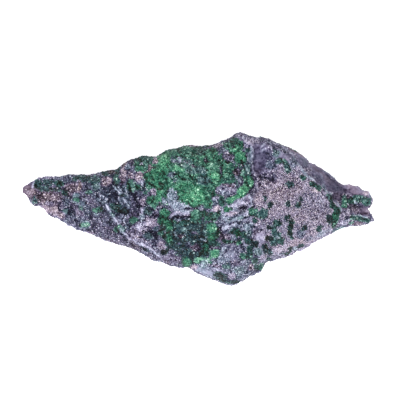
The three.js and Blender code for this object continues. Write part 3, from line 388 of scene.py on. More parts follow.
    ("g", 241.8, 174, 1.2, 5, 0, 0.98, 0.3, 1), ("g", 246.6, 171, 3.2, 6, 0, 0.56, 0, 1), ("g", 245.6, 180.4, 3.6, 4.2, 0, 0.58, 0.73, 1),
    ("r", 249.6, 158.5, 2.4, 9.5, 0, 0.8, 0.14, 0.3), ("g", 247, 151.4, 3, 2.6, 0, 0.42, 0.18, 0.9),
    ("r", 246.4, 146.6, 3.6, 3.6, 0, 0.62, 0.5, 0.1), ("r", 225, 190, 11, 5.6, 6, 0.67, 0.45, 0.4),
    ("R", [(223, 184.4), (228, 185.6), (233, 187.6)], 1.1, 0.54, 0.78, 0.1), ("r", 224.6, 193.6, 5.4, 2.4, 0, 0.81, 0.34, 0.4),
    ("g", 242.4, 190.4, 6.6, 4.4, 38, 0.73, 1, 1), ("g", 249.4, 182.6, 2.4, 5.4, -5, 0.68, 0.78, 1), ("g", 231.6, 200, 6, 3.6, 25, 0.66, 1, 1),
    ("r", 214, 203, 4.6, 5.4, 0, 0.46, 0.3, 0.1), ("g", 221.4, 202, 3.2, 4, 0, 0.36, 0.35, 1), ("r", 215, 197.6, 3.2, 1.5, 0, 0.74, 0.5, 0.1),
    ("r", 216.4, 208, 3.8, 2.5, 20, 0.8, 0.77, 0.2), ("g", 209, 203.4, 3.6, 4, 0, 0.42, 0.75, 1),
    # ---- the ledge and the crust below it
    ("g", 196, 215.4, 5.6, 5.4, 0, 0.62, 0.62, 1), ("g", 203.6, 213.6, 3.8, 3.6, 0, 0.12, 0.55, 1), ("g", 212, 213.6, 2.4, 3, 0, 0.12, 0.4, 1),
    ("g", 208.6, 217.4, 4, 2.6, 20, 0.34, 0.55, 0.9), ("g", 217.2, 214.6, 3, 4.8, -20, 0.36, 0.38, 1), ("g", 214, 219.2, 3.4, 1.7, 0, 0.05, 0.4, 1),
    ("R", [(174, 213), (180, 212), (186, 213.2), (191, 214.4)], 1.8, 0.74, 0.5, 0.3),
    # the dark line in the crevice under the ledge is the crevice's colour and painted shade in it
    ("R", [(172, 218.6), (177, 216.2), (183, 217), (190, 216.2)], 1.2, 0, 0.6, 0.3),
    ("R", [(175.6, 218), (181, 219.8), (185, 218.6), (190, 218.8)], 1.1, 0.66, 0.3, 0.2),
    ("G", [(172, 220.2), (180, 222.6), (188, 220.4), (196, 222.8)], 1.2, 0.14, 0.55, 1), ("g", 166, 213, 4.6, 4.4, 0, 0.5, 0.88, 1),
    ("g", 164, 221, 5.2, 4.6, 0, 0.14, 0.65, 1), ("g", 170.6, 225.8, 3.2, 4.4, 0, 0.37, 0.92, 1), ("g", 198, 220.6, 3.6, 2.4, -20, 0.4, 0.5, 1),
    ("g", 184, 223.2, 4.6, 1.8, 8, 0.36, 0.35, 1), ("g", 166, 219, 3.2, 4, 8, 0.41, 0.85, 1), ("g", 169.4, 233, 1.9, 3, 0, 0, 0.85, 1),
    ("g", 169.6, 238.4, 3, 3.8, 0, 0.34, 0.88, 1), ("g", 164.4, 227.4, 2.7, 3.4, 0, 0, 0.1, 1), ("g", 162, 232.4, 3, 3.2, 0, 0.36, 0.4, 1),
    ("g", 166, 236.4, 2.6, 2.8, 0, 0.07, 0.25, 1), ("g", 177.6, 225.6, 3.4, 3, 0, 0.58, 0.07, 0.8),
    ("g", 184, 227.6, 4.4, 2.3, -20, 0.64, 0.024, 0.8), ("g", 186.6, 233, 2.2, 5.4, 8, 0.48, 0.04, 0.8),
    ("r", 181.6, 236.4, 2.5, 3, 0, 0.2, 0.76, 0), ("R", [(175.4, 231.4), (178.4, 236.4)], 1.1, 0.74, 0.2, 0.2),
    ("g", 196, 226, 7.4, 4, 0, 0.24, 0.04, 0.8), ("g", 205, 229.8, 2.2, 2.2, 0, 0.66, 0.07, 0.8), ("g", 211.6, 227.4, 4.6, 5.2, 0, 0.62, 0.85, 1),
    ("g", 211.2, 236.4, 4.8, 4.2, 0, 0.3, 0.95, 1), ("g", 218, 232, 2, 5, 0, 0, 0.7, 1), ("r", 195.4, 232.6, 3.4, 1.5, -12, 0.52, 0.6, 0.1),
    ("g", 194, 236.6, 3.4, 1.8, 0, 0.03, 0.08, 0.8), ("g", 197.6, 239.6, 3.6, 2, 0, 0.34, 0, 0.8),
    ("R", [(201, 239), (205.6, 240), (207.6, 236.4)], 1.1, 0.78, 0.16, 0.1), ("r", 196.6, 247.4, 5.6, 3.8, 0, 0.12, 0.62, 0),
    ("g", 206.6, 247, 3, 5.4, 10, 0.34, 0.78, 1), ("g", 202.4, 251, 2, 3, 0, 0.08, 0.65, 1), ("g", 178, 246, 4.4, 6, 0, 0.24, 0.016, 0.8),
    ("g", 172.6, 242.6, 1.8, 3.4, 0, 0.08, 0.5, 1), ("r", 172.6, 251.6, 2.8, 3.4, 0, 0.42, 0.48, 0.1),
    ("r", 174.6, 258.6, 8.4, 3.6, -20, 0.34, 0.5, 0), ("r", 177.8, 257.8, 2.8, 2, 0, 0.46, 0.5, 0), ("r", 168, 262, 3.4, 2, -30, 0.22, 0.6, 0.1),
    ("g", 193.6, 256.6, 4.6, 3.2, 0, 0.16, 0, 0.8), ("r", 186, 234.4, 1.4, 1.2, 0, 0.46, 0.38, 0), ("r", 195.4, 233, 1.6, 1.2, 20, 0.46, 0.38, 0),
    ("r", 181, 254.6, 1.8, 1.2, -10, 0.46, 0.38, 0), ("r", 189.4, 244.4, 1.4, 1.2, 0, 0.46, 0.38, 0), ("r", 176, 251.4, 2, 1.4, 40, 0.46, 0.38, 0),
    ("r", 184.4, 249, 1.8, 1.3, -30, 0.46, 0.38, 0), ("r", 179, 243, 1.6, 1.3, 10, 0.46, 0.38, 0), ("g", 187, 260.8, 4.4, 5, 0, 0.44, 0.88, 1),
    ("g", 200.4, 259.4, 4.8, 2.6, -5, 1, 0.78, 1),
    ("G", [(196, 260.4), (203, 260), (209, 258), (213.6, 254.6), (217, 250.6)], 1.9, 0.84, 0.62, 0.85),
    ("r", 205.6, 261.4, 4.4, 2.6, 0, 0.92, 0.06, 0.2), ("g", 210.4, 261.6, 2.6, 1.8, 0, 0.46, 0.6, 1), ("g", 214.6, 252.8, 4, 3.8, 0, 0.76, 0.88, 1),
    ("r", 215.4, 247.4, 3.8, 2, 0, 0.62, 0.6, 0.05), ("g", 215.6, 243.4, 4.6, 2.8, 0, 0.28, 0.25, 0.9),
    ("r", 221.4, 236.4, 1.7, 4.2, 15, 0.18, 0.7, 0.1), ("r", 189, 244, 3, 3, 0, 0.24, 0.3, 0), ("g", 186, 251, 5, 3.4, 0, 0.24, 0.02, 0.8),
    # ---- ribs
    ("g", 227, 209, 4, 3, 0, 0.48, 0.88, 1), ("r", 239.4, 201.4, 9.4, 4, 25, 0.78, 0.5, 0.3), ("r", 246, 199.6, 2.6, 2.3, 0, 0.44, 0.56, 0.6),
    ("g", 238.4, 195.8, 4.6, 2.8, 38, 0.71, 1, 1), ("R", [(229, 206.8), (236, 204), (242, 203.4), (247, 203.4)], 1.1, 0.82, 0.5, 0.4),
    ("R", [(234, 201), (238.6, 199.4), (243, 198)], 1.2, 0.78, 0.42, 0.4), ("R", [(248.6, 196), (250.4, 202), (250.2, 208)], 1.1, 0.82, 0.34, 0.3),
    ("R", [(251.2, 192), (252.6, 199), (252.8, 206)], 0.95, 0.1, 0.4, 0.2), ("r", 243, 207.6, 3.8, 2.5, 5, 0.26, 0.62, 0.4),
    ("R", [(239.4, 210.4), (245, 211), (248.4, 208.4)], 1.1, 0.78, 0.5, 0.2), ("r", 232, 213.6, 6.4, 2, 15, 0.76, 0.68, 0.1),
    ("R", [(222.6, 227), (229, 225.6), (236, 223.6)], 1.3, 0.86, 0.42, 0.6), ("R", [(226.6, 221.4), (232, 219), (237, 217)], 1.2, 0.8, 0.26, 0.5),
    # the dark lines in the grooves below the ribs are the grooves' colour and painted shadow cast by the ribs
    ("R", [(229, 223.4), (234, 221.2), (239, 221)], 0.95, 0.1, 0.45, 0.2), ("r", 240.6, 222.4, 3.4, 1.8, 15, 0.2, 0.4, 0.1),
    ("R", [(242.6, 218.4), (246, 216.6), (250, 215.4)], 0.95, 0.08, 0.3, 0.1), ("r", 240, 217.6, 3.6, 2, 10, 0.64, 0.1, 0.1),
    ("r", 248, 226, 5, 3.8, 20, 0.72, 0.2, 0.05), ("g", 250.6, 211.6, 3.4, 4.6, 0, 0.43, 0.6, 0.8),
    ("g", 254.4, 210.6, 2.3, 2.3, 0, 0.724, 0.6, 0.72), ("g", 256.4, 214.6, 4, 3, 0, 0.43, 0.3, 0.72),
    ("g", 262.4, 213, 5.4, 5, 0, 0.45, 0.16, 0.72), ("g", 261, 216.6, 3.2, 2.4, 0, 0.346, 0.18, 0.92),
    ("g", 254.6, 220, 3.2, 3.2, -20, 0.284, 0.24, 0.72), ("g", 234.4, 230.6, 6, 3.6, 0, 0.38, 0.22, 0.7),
    ("g", 237.6, 233, 2.6, 2.8, 0, 0.26, 0.88, 1), ("r", 227, 236.4, 4, 2.8, -20, 0.42, 0.62, 0), ("r", 233.4, 237.4, 3, 2.2, 0, 0.62, 0.35, 0.1),
    ("r", 222.4, 235.4, 1.8, 4.2, 15, 0.14, 0.66, 0.2), ("g", 243.4, 234.4, 3.2, 4, 0, 0.26, 0.3, 0.74),
    ("r", 248.6, 233.4, 3.2, 3.8, 0, 0.42, 0.12, 0), ("r", 253.4, 226.8, 3.6, 1.4, -12, 0.15, 0.4, 0.1),
    ("r", 259, 228.2, 2.2, 1.2, -20, 0.06, 0.4, 0.1), ("r", 256, 233, 4.2, 3, -20, 0.36, 0.6, 0.2), ("r", 262.4, 224, 5, 3.2, 30, 0.68, 0.6, 0),
    ("r", 259.6, 237.6, 5.2, 6.4, -10, 0.91, 0.52, 1), ("r", 258.4, 245, 3, 3.6, 0, 0.76, 0.55, 0.5),
    # ---- knob
    ("g", 238.6, 241.4, 3, 2.2, 0, 0.52, 0.75, 1), ("g", 229, 240.6, 6, 1.8, 0, 0.22, 0.4, 0.9),
    ("R", [(224.6, 245.4), (229, 244.8), (234, 245.4)], 1.1, 0.76, 0.4, 0.3), ("r", 231, 250.6, 6.4, 5.4, 0, 0.52, 0.41, 0.55),
    ("r", 223, 249.6, 2.2, 2.8, 0, 0.78, 0.41, 0.3), ("r", 232, 255.6, 4.4, 2.6, 0, 0.46, 0.42, 0.5),
    ("R", [(219, 256), (221, 251), (225, 247)], 1.1, 0.8, 0.3, 0.3), ("R", [(214, 262.6), (219, 260.6), (224, 259.6)], 1.1, 0.74, 0.36, 0.3),
    ("r", 217, 264.4, 3.8, 2.4, 0, 0.42, 0.62, 0.2), ("g", 226, 264.4, 3.8, 4.4, 0, 0.36, 0.15, 0.55), ("r", 235.4, 262, 4.8, 3, 0, 0.34, 0.55, 0),
    ("r", 243, 262.4, 3.4, 2.4, 0, 0.48, 0.38, 0.1), ("g", 243.4, 254.6, 4.6, 3.6, 0, 0.5, 0.5, 0.74),
    ("g", 249, 250.4, 3.2, 7.4, 0, 0.16, 0.25, 0.74), ("g", 253.4, 243.6, 4, 4, 0, 0.208, 0.048, 0.74),
    ("g", 247.4, 240, 3.6, 3, 0, 0.34, 0.2, 0.74), ("r", 257.4, 251, 3.8, 3.8, 0, 0.5, 0.1, 0), ("g", 254.6, 259, 4.2, 2.8, 0, 0.18, 0.3, 0.74),
    ("g", 256.2, 266.4, 4, 4, 0, 0.18, 0.15, 0.74), ("g", 261.2, 265.4, 2.8, 4.4, 0, 0.38, 0.4, 0.74),
    ("r", 250.4, 266.4, 2.5, 4.4, 0, 0.54, 0.7, 0), ("r", 262.2, 256.4, 3.4, 3.2, 0, 0.76, 0.66, 0.1), ("r", 240, 269.6, 5.6, 4.6, 0, 0.52, 0.14, 0),
    ("r", 241.4, 275.6, 5.4, 2.4, 10, 0.6, 0.2, 0), ("r", 231.6, 275, 3.6, 3.4, 0, 0.66, 0.55, 0.05), ("r", 246.6, 276, 4.6, 2.4, 15, 0.52, 0.4, 0),
    ("r", 206, 271, 13, 4.4, -24, 0.8, 0.38, 0.7), ("r", 218.4, 270.4, 6.4, 2.8, -12, 0.82, 0.44, 0.5), ("r", 221.4, 276, 7.6, 4, -25, 0, 0.25, 0.1),
    ("r", 194.2, 266.6, 3.6, 2.2, 0, 0.84, 0.8, 0.4), ("r", 204, 266, 3.6, 1.8, 0, 0.84, 0.2, 0.2), ("g", 220.6, 275.4, 6.6, 4.2, -28, 0, 0, 0.9),
    ("g", 224, 279.6, 5.4, 2, -20, 0, 0, 0.9), ("g", 233.4, 281.4, 6, 2.2, -5, 0, 0, 1),
    ("R", [(227, 277), (230, 279), (234, 279.6)], 0.95, 0.04, 0.4, 0.1),
    # ---- slab: its colours, the bare places and the clusters
    ("r", 275, 192, 15, 10, -20, 0.68, 0.72, 0), ("r", 291, 183.5, 9, 6, -35, 0.62, 0.64, 0), ("r", 261.6, 185.4, 8, 4, 0, 0.75, 0.6, 0),
    ("r", 257, 199, 4.6, 7, 0, 0.78, 0.68, 0.1), ("r", 313, 205, 16, 14, -35, 0.66, 0.56, 0), ("r", 283, 226, 22, 12, 0, 0.78, 0.52, 0),
    ("r", 298, 215, 8, 7, 0, 0.76, 0.66, 0), ("r", 300, 241, 16, 5, 24, 0.68, 0.7, 0.1), ("r", 299, 233.6, 4.6, 4.4, 0, 0.5, 0.38, 0.6),
    ("r", 281, 247.4, 8.4, 3.8, 10, 0.86, 0.64, 0.2), ("r", 307.6, 238, 4.6, 3, 20, 0.46, 0.44, 0), ("r", 322, 233, 6, 3, 25, 0.62, 0.3, 0.3),
    ("g", 287.6, 184.8, 3.9, 2.6, -15, 0.07, 0, 0.92), ("R", [(257.8, 184), (260.6, 187), (264, 188.6)], 0.95, 0.14, 0.6, 0.1),
    ("g", 264, 199, 2.2, 3.4, -10, 0.14, 0.03, 0.92), ("g", 268.6, 205, 2.7, 3.8, -25, 0.084, 0.09, 0.92),
    ("g", 286, 204.4, 2, 3, 0, 0.112, 0, 0.92), ("g", 296.6, 205, 2.9, 3.6, -10, 0.098, 0.09, 0.92), ("g", 299, 199, 1.9, 2.6, 20, 0.042, 0, 0.92),
    ("g", 275.4, 222.8, 5, 3.2, 0, 0.29, 0.21, 0.82), ("g", 273, 229.6, 3.4, 4.6, 0, 0.35, 0.252, 0.82), ("g", 268, 227, 3.2, 2, -20, 0, 0, 1),
    ("g", 267.2, 237.6, 3.6, 2.6, 0, 0, 0, 1), ("g", 273, 240.6, 5, 3.6, 0, 0.31, 0.09, 0.82), ("g", 279.6, 240, 3.6, 4.4, 20, 0.3, 0.3, 0.82),
    ("g", 275.4, 234.6, 4.6, 3.6, 0, 0.28, 0.12, 0.78), ("r", 276.6, 236.4, 2.3, 1.5, -30, 0.74, 0.08, 0.4),
    ("g", 264.6, 247.6, 3.8, 5.4, 10, 0.116, 0, 0.74), ("g", 269.6, 251.4, 2.6, 3, 0, 0.116, 0, 0.92),
    ("g", 268, 258.6, 2.4, 1.6, 0, 0.116, 0.06, 0.92), ("g", 285, 218.4, 1.61, 3.2, 5, 0, 0.06, 1), ("g", 287.8, 216.6, 1.38, 2.2, 0, 0, 0.18, 1),
    ("g", 289.6, 221.6, 3.105, 2.4, 0, 0, 0.27, 1), ("g", 289.2, 227, 2.875, 4.6, 0, 0, 0.3, 1), ("g", 289.2, 232.6, 2.415, 3.6, 0, 0.028, 0.372, 1),
    ("g", 290.6, 237.6, 2.3, 1.4, 0, 0.09, 0.3, 1), ("g", 302.4, 228, 2.5, 3.4, -30, 0.084, 0.06, 0.92),
    ("g", 317.6, 228.4, 3.1, 3.6, -25, 0.154, 0.18, 0.92), ("g", 290, 248.6, 3.2, 2.4, 0, 0.056, 0.06, 0.92),
    ("g", 287.4, 252.4, 4.8, 1.4, 14, 0.14, 0.09, 0.92), ("g", 299.4, 246, 3.6, 2.2, 25, 0.14, 0.06, 0.92),
    ("r", 294, 248, 2.4, 2.2, 0, 0.58, 0.2, 0.4), ("g", 301, 178, 3, 2.6, -30, 0.224, 0.3, 1), ("g", 311.4, 184.4, 4, 3.8, 0, 0.196, 0.288, 1),
    ("g", 316.2, 188, 3.2, 3.2, -20, 0.322, 0.3, 0.92), ("r", 313, 191, 4.4, 1.1, -5, 0.8, 0.8, 0),
    ("R", [(299, 170.4), (304, 175.6), (309.4, 180.2)], 1.1, 0.92, 0.3, 0.6), ("r", 280.4, 172.4, 5.4, 5, 0, 0.61, 0.62, 0),
    # ---- end of the slab and the ridge above it
    ("g", 328.6, 198.6, 3, 5, 38, 0.1, 0.1, 1), ("g", 331, 206, 3.6, 2.7, 0, 0.28, 0.3, 1), ("g", 335.6, 211, 3.6, 4.2, 0, 0.16, 0.5, 1),
    ("g", 333.4, 216.6, 4, 4, 0, 0.28, 0.78, 1), ("g", 327.4, 218.6, 2.8, 4.8, 0, 0.02, 0.05, 0.92), ("g", 332.4, 223.6, 3.2, 4, 0, 0.02, 0.5, 1),
    ("r", 341.2, 218.4, 3.8, 4.6, 0, 0.58, 0.6, 0), ("r", 345.6, 218.6, 2.2, 3, 0, 0.24, 0.4, 0), ("r", 338, 229, 6.4, 2, 22, 0.5, 0.04, 0.3),
    ("r", 323, 187, 2.4, 4, 10, 0.7, 0.25, 0.5), ("R", [(320, 187), (325, 191.6), (329.4, 195.4)], 1.1, 0.88, 0.24, 0.4),
    ("R", [(333, 200.4), (336, 203.6), (338.6, 207), (340, 211)], 1.1, 0.92, 0.24, 0.7),
    # ---- upper right: streaked corner, hollow, lip and fracture faces
    ("r", 243, 138.4, 10, 3.6, -14, 0.56, 0.47, 0.3), ("R", [(233.6, 136.6), (237, 137), (241, 137)], 0.95, 0.24, 0.62, 0.4),
    ("r", 252, 143.4, 8, 4, -10, 0.74, 0.58, 0.1), ("r", 263, 140.6, 14, 3.6, -14, 0.54, 0.48, 0), ("r", 256, 147.4, 5, 3.4, 0, 0.52, 0.5, 0.4),
    ("r", 257.6, 161, 8, 14.5, -6, 0.52, 0.5, 1), ("R", [(251, 148), (251.6, 160), (252, 172)], 1.2, 0.76, 0.42, 0.4),
    ("r", 268.6, 154, 4.8, 7.6, 8, 0.26, 0.5, 0.4), ("R", [(262, 151.4), (265, 149.6), (268, 147.8)], 1.1, 0.78, 0.46, 0.4),
    ("R", [(266, 141.6), (269.4, 146), (270.4, 151)], 1.1, 0.72, 0.46, 0.4), ("R", [(263, 145), (261, 149)], 1.1, 0.76, 0.44, 0.3),
    ("r", 274.4, 154.4, 3, 4.8, 0, 0.46, 0.06, 0.3), ("r", 269.4, 166.4, 4.6, 4.2, 0, 0.42, 0.32, 0.4),
    ("r", 268.4, 176.6, 6.4, 3.8, -12, 0.36, 0.48, 0.4), ("R", [(260, 176.6), (266, 179.4), (273, 180.4)], 1.9, 0.3, 0.48, 0.3),
    ("R", [(252.6, 171.6), (254.4, 176)], 1.1, 0.86, 0.42, 0.4), ("r", 275.4, 148.6, 5.4, 2.8, -28, 0.36, 0.5, 0.1),
    ("r", 285, 152, 10, 3.6, -28, 0.47, 0.48, 0.4), ("R", [(281, 149.4), (285, 151.4), (288.4, 153.8)], 1.1, 0.8, 0.46, 0.4),
    ("r", 291.4, 163, 4, 5.4, -20, 0.5, 0.34, 0.3), ("R", [(290, 155), (294.6, 159), (297.4, 163), (299.4, 168)], 1.1, 0.68, 0.48, 0.5),
    ("g", 277.4, 162.4, 4.4, 2.5, 0, 0.38, 0.2, 0.72), ("g", 282.6, 162, 3.4, 2.2, 0, 0.56, 0.3, 0.72),
    ("g", 285.2, 169, 3.4, 6, 15, 0.3, 0.1, 0.75), ("r", 301.4, 163, 6, 5, -40, 0.46, 0.42, 0.9),
    ("R", [(296, 164.5), (302, 172.5), (308, 178.5), (313, 182)], 1.15, 0.82, 0.36, 0.4),
    ("R", [(282, 148), (287, 151.5), (292, 156)], 1.1, 0.84, 0.45, 0.4), ("r", 316.4, 170.4, 6, 2.6, -18, 0.34, 0.72, 0.8),
    ("r", 313, 175, 5, 4, -30, 0.55, 0.44, 0.9), ("r", 316, 178.4, 5, 2.4, -10, 0.52, 0.42, 0.5), ("r", 326, 181, 10, 5, -38, 0.46, 0.58, 1),
    ("r", 334, 188, 9, 6, -20, 0.31, 0.52, 1), ("r", 336, 196.4, 5, 6, 0, 0.29, 0.6, 0.6), ("r", 336, 186, 4.6, 6.4, -30, 0.26, 0.52, 0.8),
    ("r", 318, 181, 4.2, 5.4, -30, 0.5, 0.42, 0.7), ("r", 316, 170, 6.4, 3, -34, 0.4, 0.56, 0.9),
    ("R", [(310, 168), (316, 173), (322, 178)], 1.1, 0.56, 0.4, 0.8), ("R", [(325, 174), (331, 180), (336, 184)], 1, 0.22, 0.45, 0.9),
    ("R", [(288, 148.6), (296, 152.8), (303, 157)], 1, 0.44, 0.92, 0.6),
    ("R", [(322, 170.6), (328, 174.6), (334, 179.6), (340, 183)], 1, 0.5, 0.34, 0.6),
    # ---- prongs
    ("r", 353, 189.6, 15, 5, -22, 0.46, 0.66, 0.9), ("r", 345, 190, 6, 3.6, -20, 0.37, 0.58, 0.8),
    ("R", [(346, 194), (350, 194.8), (353, 196.8)], 1.1, 0.76, 0.52, 0.3), ("r", 366, 193.6, 3.4, 2.2, 0, 0.66, 0.85, 0.6),
    ("r", 369.6, 198, 1.7, 7, 0, 0.52, 0.4, 0.7), ("g", 343, 197, 2.8, 1.7, 0, 0.66, 0.05, 0.8), ("g", 344, 201, 3.6, 3.2, 0, 0.61, 0.53, 1),
    ("g", 343.8, 204.8, 3.8, 2.6, 0, 0.7, 0.6, 0.9), ("g", 358, 197.4, 6, 1.8, 0, 0.57, 0.2, 0.9), ("g", 351.6, 201, 4.8, 2.8, 0, 0.47, 0.4, 1),
    ("g", 358.6, 200.8, 2.8, 2.8, 0, 0.21, 0.25, 1), ("R", [(354, 200.6), (355.6, 203.8)], 1.1, 0.86, 0.08, 0.2),
    ("g", 366, 201.6, 4.6, 4.2, -10, 0.47, 0.29, 1), ("r", 351, 206, 3.8, 2.4, 0, 0.3, 0.6, 0.2), ("r", 363, 211.6, 8.4, 4.6, 0, 0.48, 0.72, 0.8),
    ("r", 353, 211, 7, 3.6, 0, 0.58, 0.68, 0.3), ("R", [(364, 213), (368, 213.2)], 0.7, 0.3, 0.78, 0.7),
    ("G", [(355, 207.8), (359, 208.8), (364, 208.6)], 0.9, 0.3, 0.1, 0.2), ("r", 346.4, 212.6, 5, 3, 0, 0.58, 0.6, 0),
    ("g", 355.6, 217.6, 7.4, 2.8, -4, 0.17, 0.3, 1), ("g", 365, 219.4, 4.8, 2.5, -5, 0.21, 0.3, 1),
    ("R", [(352, 214.4), (360, 215.8), (366.6, 217)], 1.1, 0.74, 0.12, 0.2), ("r", 371, 216.8, 2.5, 2.2, 0, 0.36, 0.42, 0.6),
    ("g", 350.4, 222.4, 3.8, 1.3, 0, 0.64, 0.32, 0.9), ("r", 357, 223.4, 6, 1.5, 0, 0.42, 0.82, 0.1), ("r", 343, 223.2, 5, 1.6, 12, 0.72, 0.5, 0.2),
]

# The outlines of the crusts' own solids, on the same grid: they share out the crystals
CRUSTS = {
    "uvarovite_crown_druse": [(142, 170), (150, 163), (162, 157), (174, 154), (188, 151), (204, 152), (220, 149), (234, 145), (243, 152), (246, 168),
        (247, 184), (241, 197), (230, 202), (219, 198), (208, 209), (192, 207), (178, 196), (168, 200), (156, 206), (148, 196), (141, 184)],
    "uvarovite_lower_druse": [(150, 222), (158, 216), (170, 217), (182, 216), (196, 215), (208, 213), (216, 219), (218, 230), (216, 241), (208, 250),
        (198, 256), (186, 259), (176, 256), (165, 250), (156, 242), (150, 232)],
    "uvarovite_knob_druse": [(228, 230), (238, 226), (250, 228), (258, 234), (262, 244), (261, 256), (256, 264), (248, 266), (241, 258), (236, 247),
        (229, 239)],
    "uvarovite_knob_edge_crust": [(209, 268.5), (215, 266.8), (221, 269), (228, 273), (232, 275.6), (229, 276.8), (221, 275.2), (213, 273)],
    "uvarovite_ribs_cluster": [(246, 212), (252, 208), (259, 207.4), (266, 210), (268, 215), (264, 220), (257, 222), (250, 219)],
    "uvarovite_slab_cluster_large": [(270, 222), (276, 219.5), (281, 223), (282, 232), (284, 240), (280, 246), (272, 247), (266, 242), (267, 233)],
    "uvarovite_slab_cluster_long": [(285, 217), (288.5, 214), (291.5, 219), (293, 228), (293, 236), (289.5, 238), (287, 232), (286, 225)],
    "uvarovite_slab_cluster_top": [(277, 161), (282, 159.4), (288, 162), (290, 168), (288.5, 173), (284, 173), (279, 167)],
    "uvarovite_ridge_cluster": [(307, 182), (311.5, 180.6), (317, 184.6), (319.6, 189.4), (315, 191.4), (308.5, 189)],
    "uvarovite_slab_end_druse": [(326, 214), (330, 207), (334, 203), (338.6, 207), (338, 215), (337, 223), (332, 227.4), (326.6, 224), (324.6, 219)],
    "uvarovite_upper_prong_crust": [(342, 200), (346, 196.6), (353, 197), (360, 198), (365.6, 200.4), (366, 203.4), (359, 204.6), (350, 205.6),
        (344, 206)],
    "uvarovite_lower_prong_crust": [(346.6, 218), (351, 215), (358, 214.4), (364.6, 215.6), (367, 217.6), (362, 219.8), (354, 220.6)],
    "uvarovite_arm_crust": [(36, 186), (42, 182.4), (52, 181), (64, 181.4), (76, 179.8), (90, 179.4), (98, 181), (96, 187), (84, 189.4), (70, 191.4),
        (56, 192), (42, 192)],
    "uvarovite_arm_spot": [(80, 220), (85, 218.6), (91, 221), (91.6, 224.4), (86, 225.6), (80.6, 224)],
}

TONE, HUE, SKIN, TINT, GREEN, COVER = range(6)


def looks(x, y, wander=1.0):
    """What the marks put at each place: tone, hue, skin, tint, green and cover."""
    c, r = wandered(x, y, wander)
    out = np.tile(np.array([0.42, 0.45, 0.0, 0.28, 0.40, 0.0]), (len(x), 1))
    for kind, *mark in MARKS:
        if kind in "rg":
            cx, cy, rx, ry, turn, *value = mark
            reach = 1.45 * max(rx, ry)
            near = np.nonzero((np.abs(c - cx) < reach) & (np.abs(r - cy) < reach))[0]
            k = blob(c[near], r[near], cx, cy, rx, ry, turn, 0.40)
        else:
            points, half, *value = mark
            xs, ys = [p[0] for p in points], [p[1] for p in points]
            m = 2.2 * half
            near = np.nonzero((c > min(xs) - m) & (c < max(xs) + m) & (r > min(ys) - m) & (r < max(ys) + m))[0]
            k = 0.95 * line_near(c[near], r[near], points, 0.9 * half)
            value[0] = 0.46 + 1.2 * (value[0] - 0.46)
            if kind == "R":
                value[2] = max(value[2], 0.45)
        if kind in "rR":
            out[near, TONE:TINT] += k[:, None] * (np.array(value) - out[near, TONE:TINT])
            out[near, COVER] *= 1 - k
        else:
            out[near, TINT:] += k[:, None] * (np.array(value) - out[near, TINT:])
    # the crystals and the light bring contrast of their own, so the marks keep part of theirs
    out[:, TONE] = 0.46 + 0.62 * (out[:, TONE] - 0.46)
    out[:, TINT] = 0.30 + 0.62 * (out[:, TINT] - 0.30)
    return out


def looks_round(p, up):
    """The marks where the rock faces up, and its plain broken look on the flanks and the back."""
    out = looks(p[:, 0], p[:, 1])
    side = np.zeros((len(p), 6))
    # the flanks' tone is their colour, set a little paler as painted light that lifts the rims facing away from the
    # lamps
    side[:, TONE] = np.clip(0.48 + 0.22 * fbm(p, 5.0, 71, 3), 0.05, 0.9)
    side[:, HUE] = np.clip(0.42 + 0.40 * fbm(p, 8.0, 72, 3), 0, 1)
    side[:, SKIN] = 0.75 * step(0.0, 0.5, fbm(p, 7.0, 73, 2))
    side[:, TINT] = np.clip(0.24 + 0.4 * fbm(p, 4.0, 74, 2), 0.05, 0.7)
    side[:, GREEN] = np.clip(0.35 + 0.8 * fbm(p, 6.0, 75, 2), 0, 1)
    side[:, COVER] = step(0.16, 0.40, fbm(p, 6.5, 76, 3))
    k = step(-0.30, 0.20, up)[:, None]
    return out * k + side * (1 - k)

# ------------------------------------------------------------------ mesh helpers
def new_mesh(name, verts, faces, smooth=False, **attributes):
    """A mesh from arrays: verts in mm, faces (n, k) of equal size."""
    mesh = bpy.data.meshes.new(name)
    n, k = faces.shape
    mesh.vertices.add(len(verts))
    mesh.vertices.foreach_set("co", (verts * MM).astype(np.float32).ravel())
    mesh.loops.add(n * k)
    mesh.loops.foreach_set("vertex_index", faces.astype(np.int32).ravel())
    mesh.polygons.add(n)
    mesh.polygons.foreach_set("loop_start", np.arange(0, n * k, k, dtype=np.int32))
    mesh.polygons.foreach_set("use_smooth", np.full(n, smooth, bool))
    mesh.update(calc_edges=True)
    mesh.validate()
    for key, values in attributes.items():
        values = np.asarray(values, np.float32)
        if values.ndim == 1:
            mesh.attributes.new(key, "FLOAT", "POINT").data.foreach_set("value", values)
        else:
            mesh.attributes.new(key, "FLOAT_COLOR", "POINT").data.foreach_set("color", values.ravel())
    return mesh


def new_piece(name, mesh, material, replaced=()):
    piece = bpy.data.objects.new(name, mesh)
    bpy.context.scene.collection.objects.link(piece)
    mesh.materials.append(material)
    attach(piece, "root")
    if replaced:
        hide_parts(*replaced)
    return piece


def vertex_normals(verts, quads):
    a, b, c, d = (verts[quads[:, k]] for k in range(4))
    fn = np.cross(c - a, d - b)
    n = np.zeros_like(verts)
    for k in range(4):
        for axis in range(3):
            n[:, axis] += np.bincount(quads[:, k], fn[:, axis], len(verts))
    return n / np.maximum(np.linalg.norm(n, axis=1, keepdims=True), 1e-12)


def smoothed(values, edges, times, strength=0.5):
    """Values averaged over neighbours along the mesh's edges."""
    out = values.copy()
    n = len(values)
    count = np.bincount(edges[:, 0], minlength=n) + np.bincount(edges[:, 1], minlength=n)
    count = np.maximum(count, 1)[:, None] if values.ndim == 2 else np.maximum(count, 1)
    for _ in range(times):
        if values.ndim == 2:
            s = np.stack([np.bincount(edges[:, 0], out[edges[:, 1], k], n)
                          + np.bincount(edges[:, 1], out[edges[:, 0], k], n) for k in range(values.shape[1])], 1)
        else:
            s = np.bincount(edges[:, 0], out[edges[:, 1]], n) + np.bincount(edges[:, 1], out[edges[:, 0]], n)
        out = out + strength * (s / count - out)
    return out


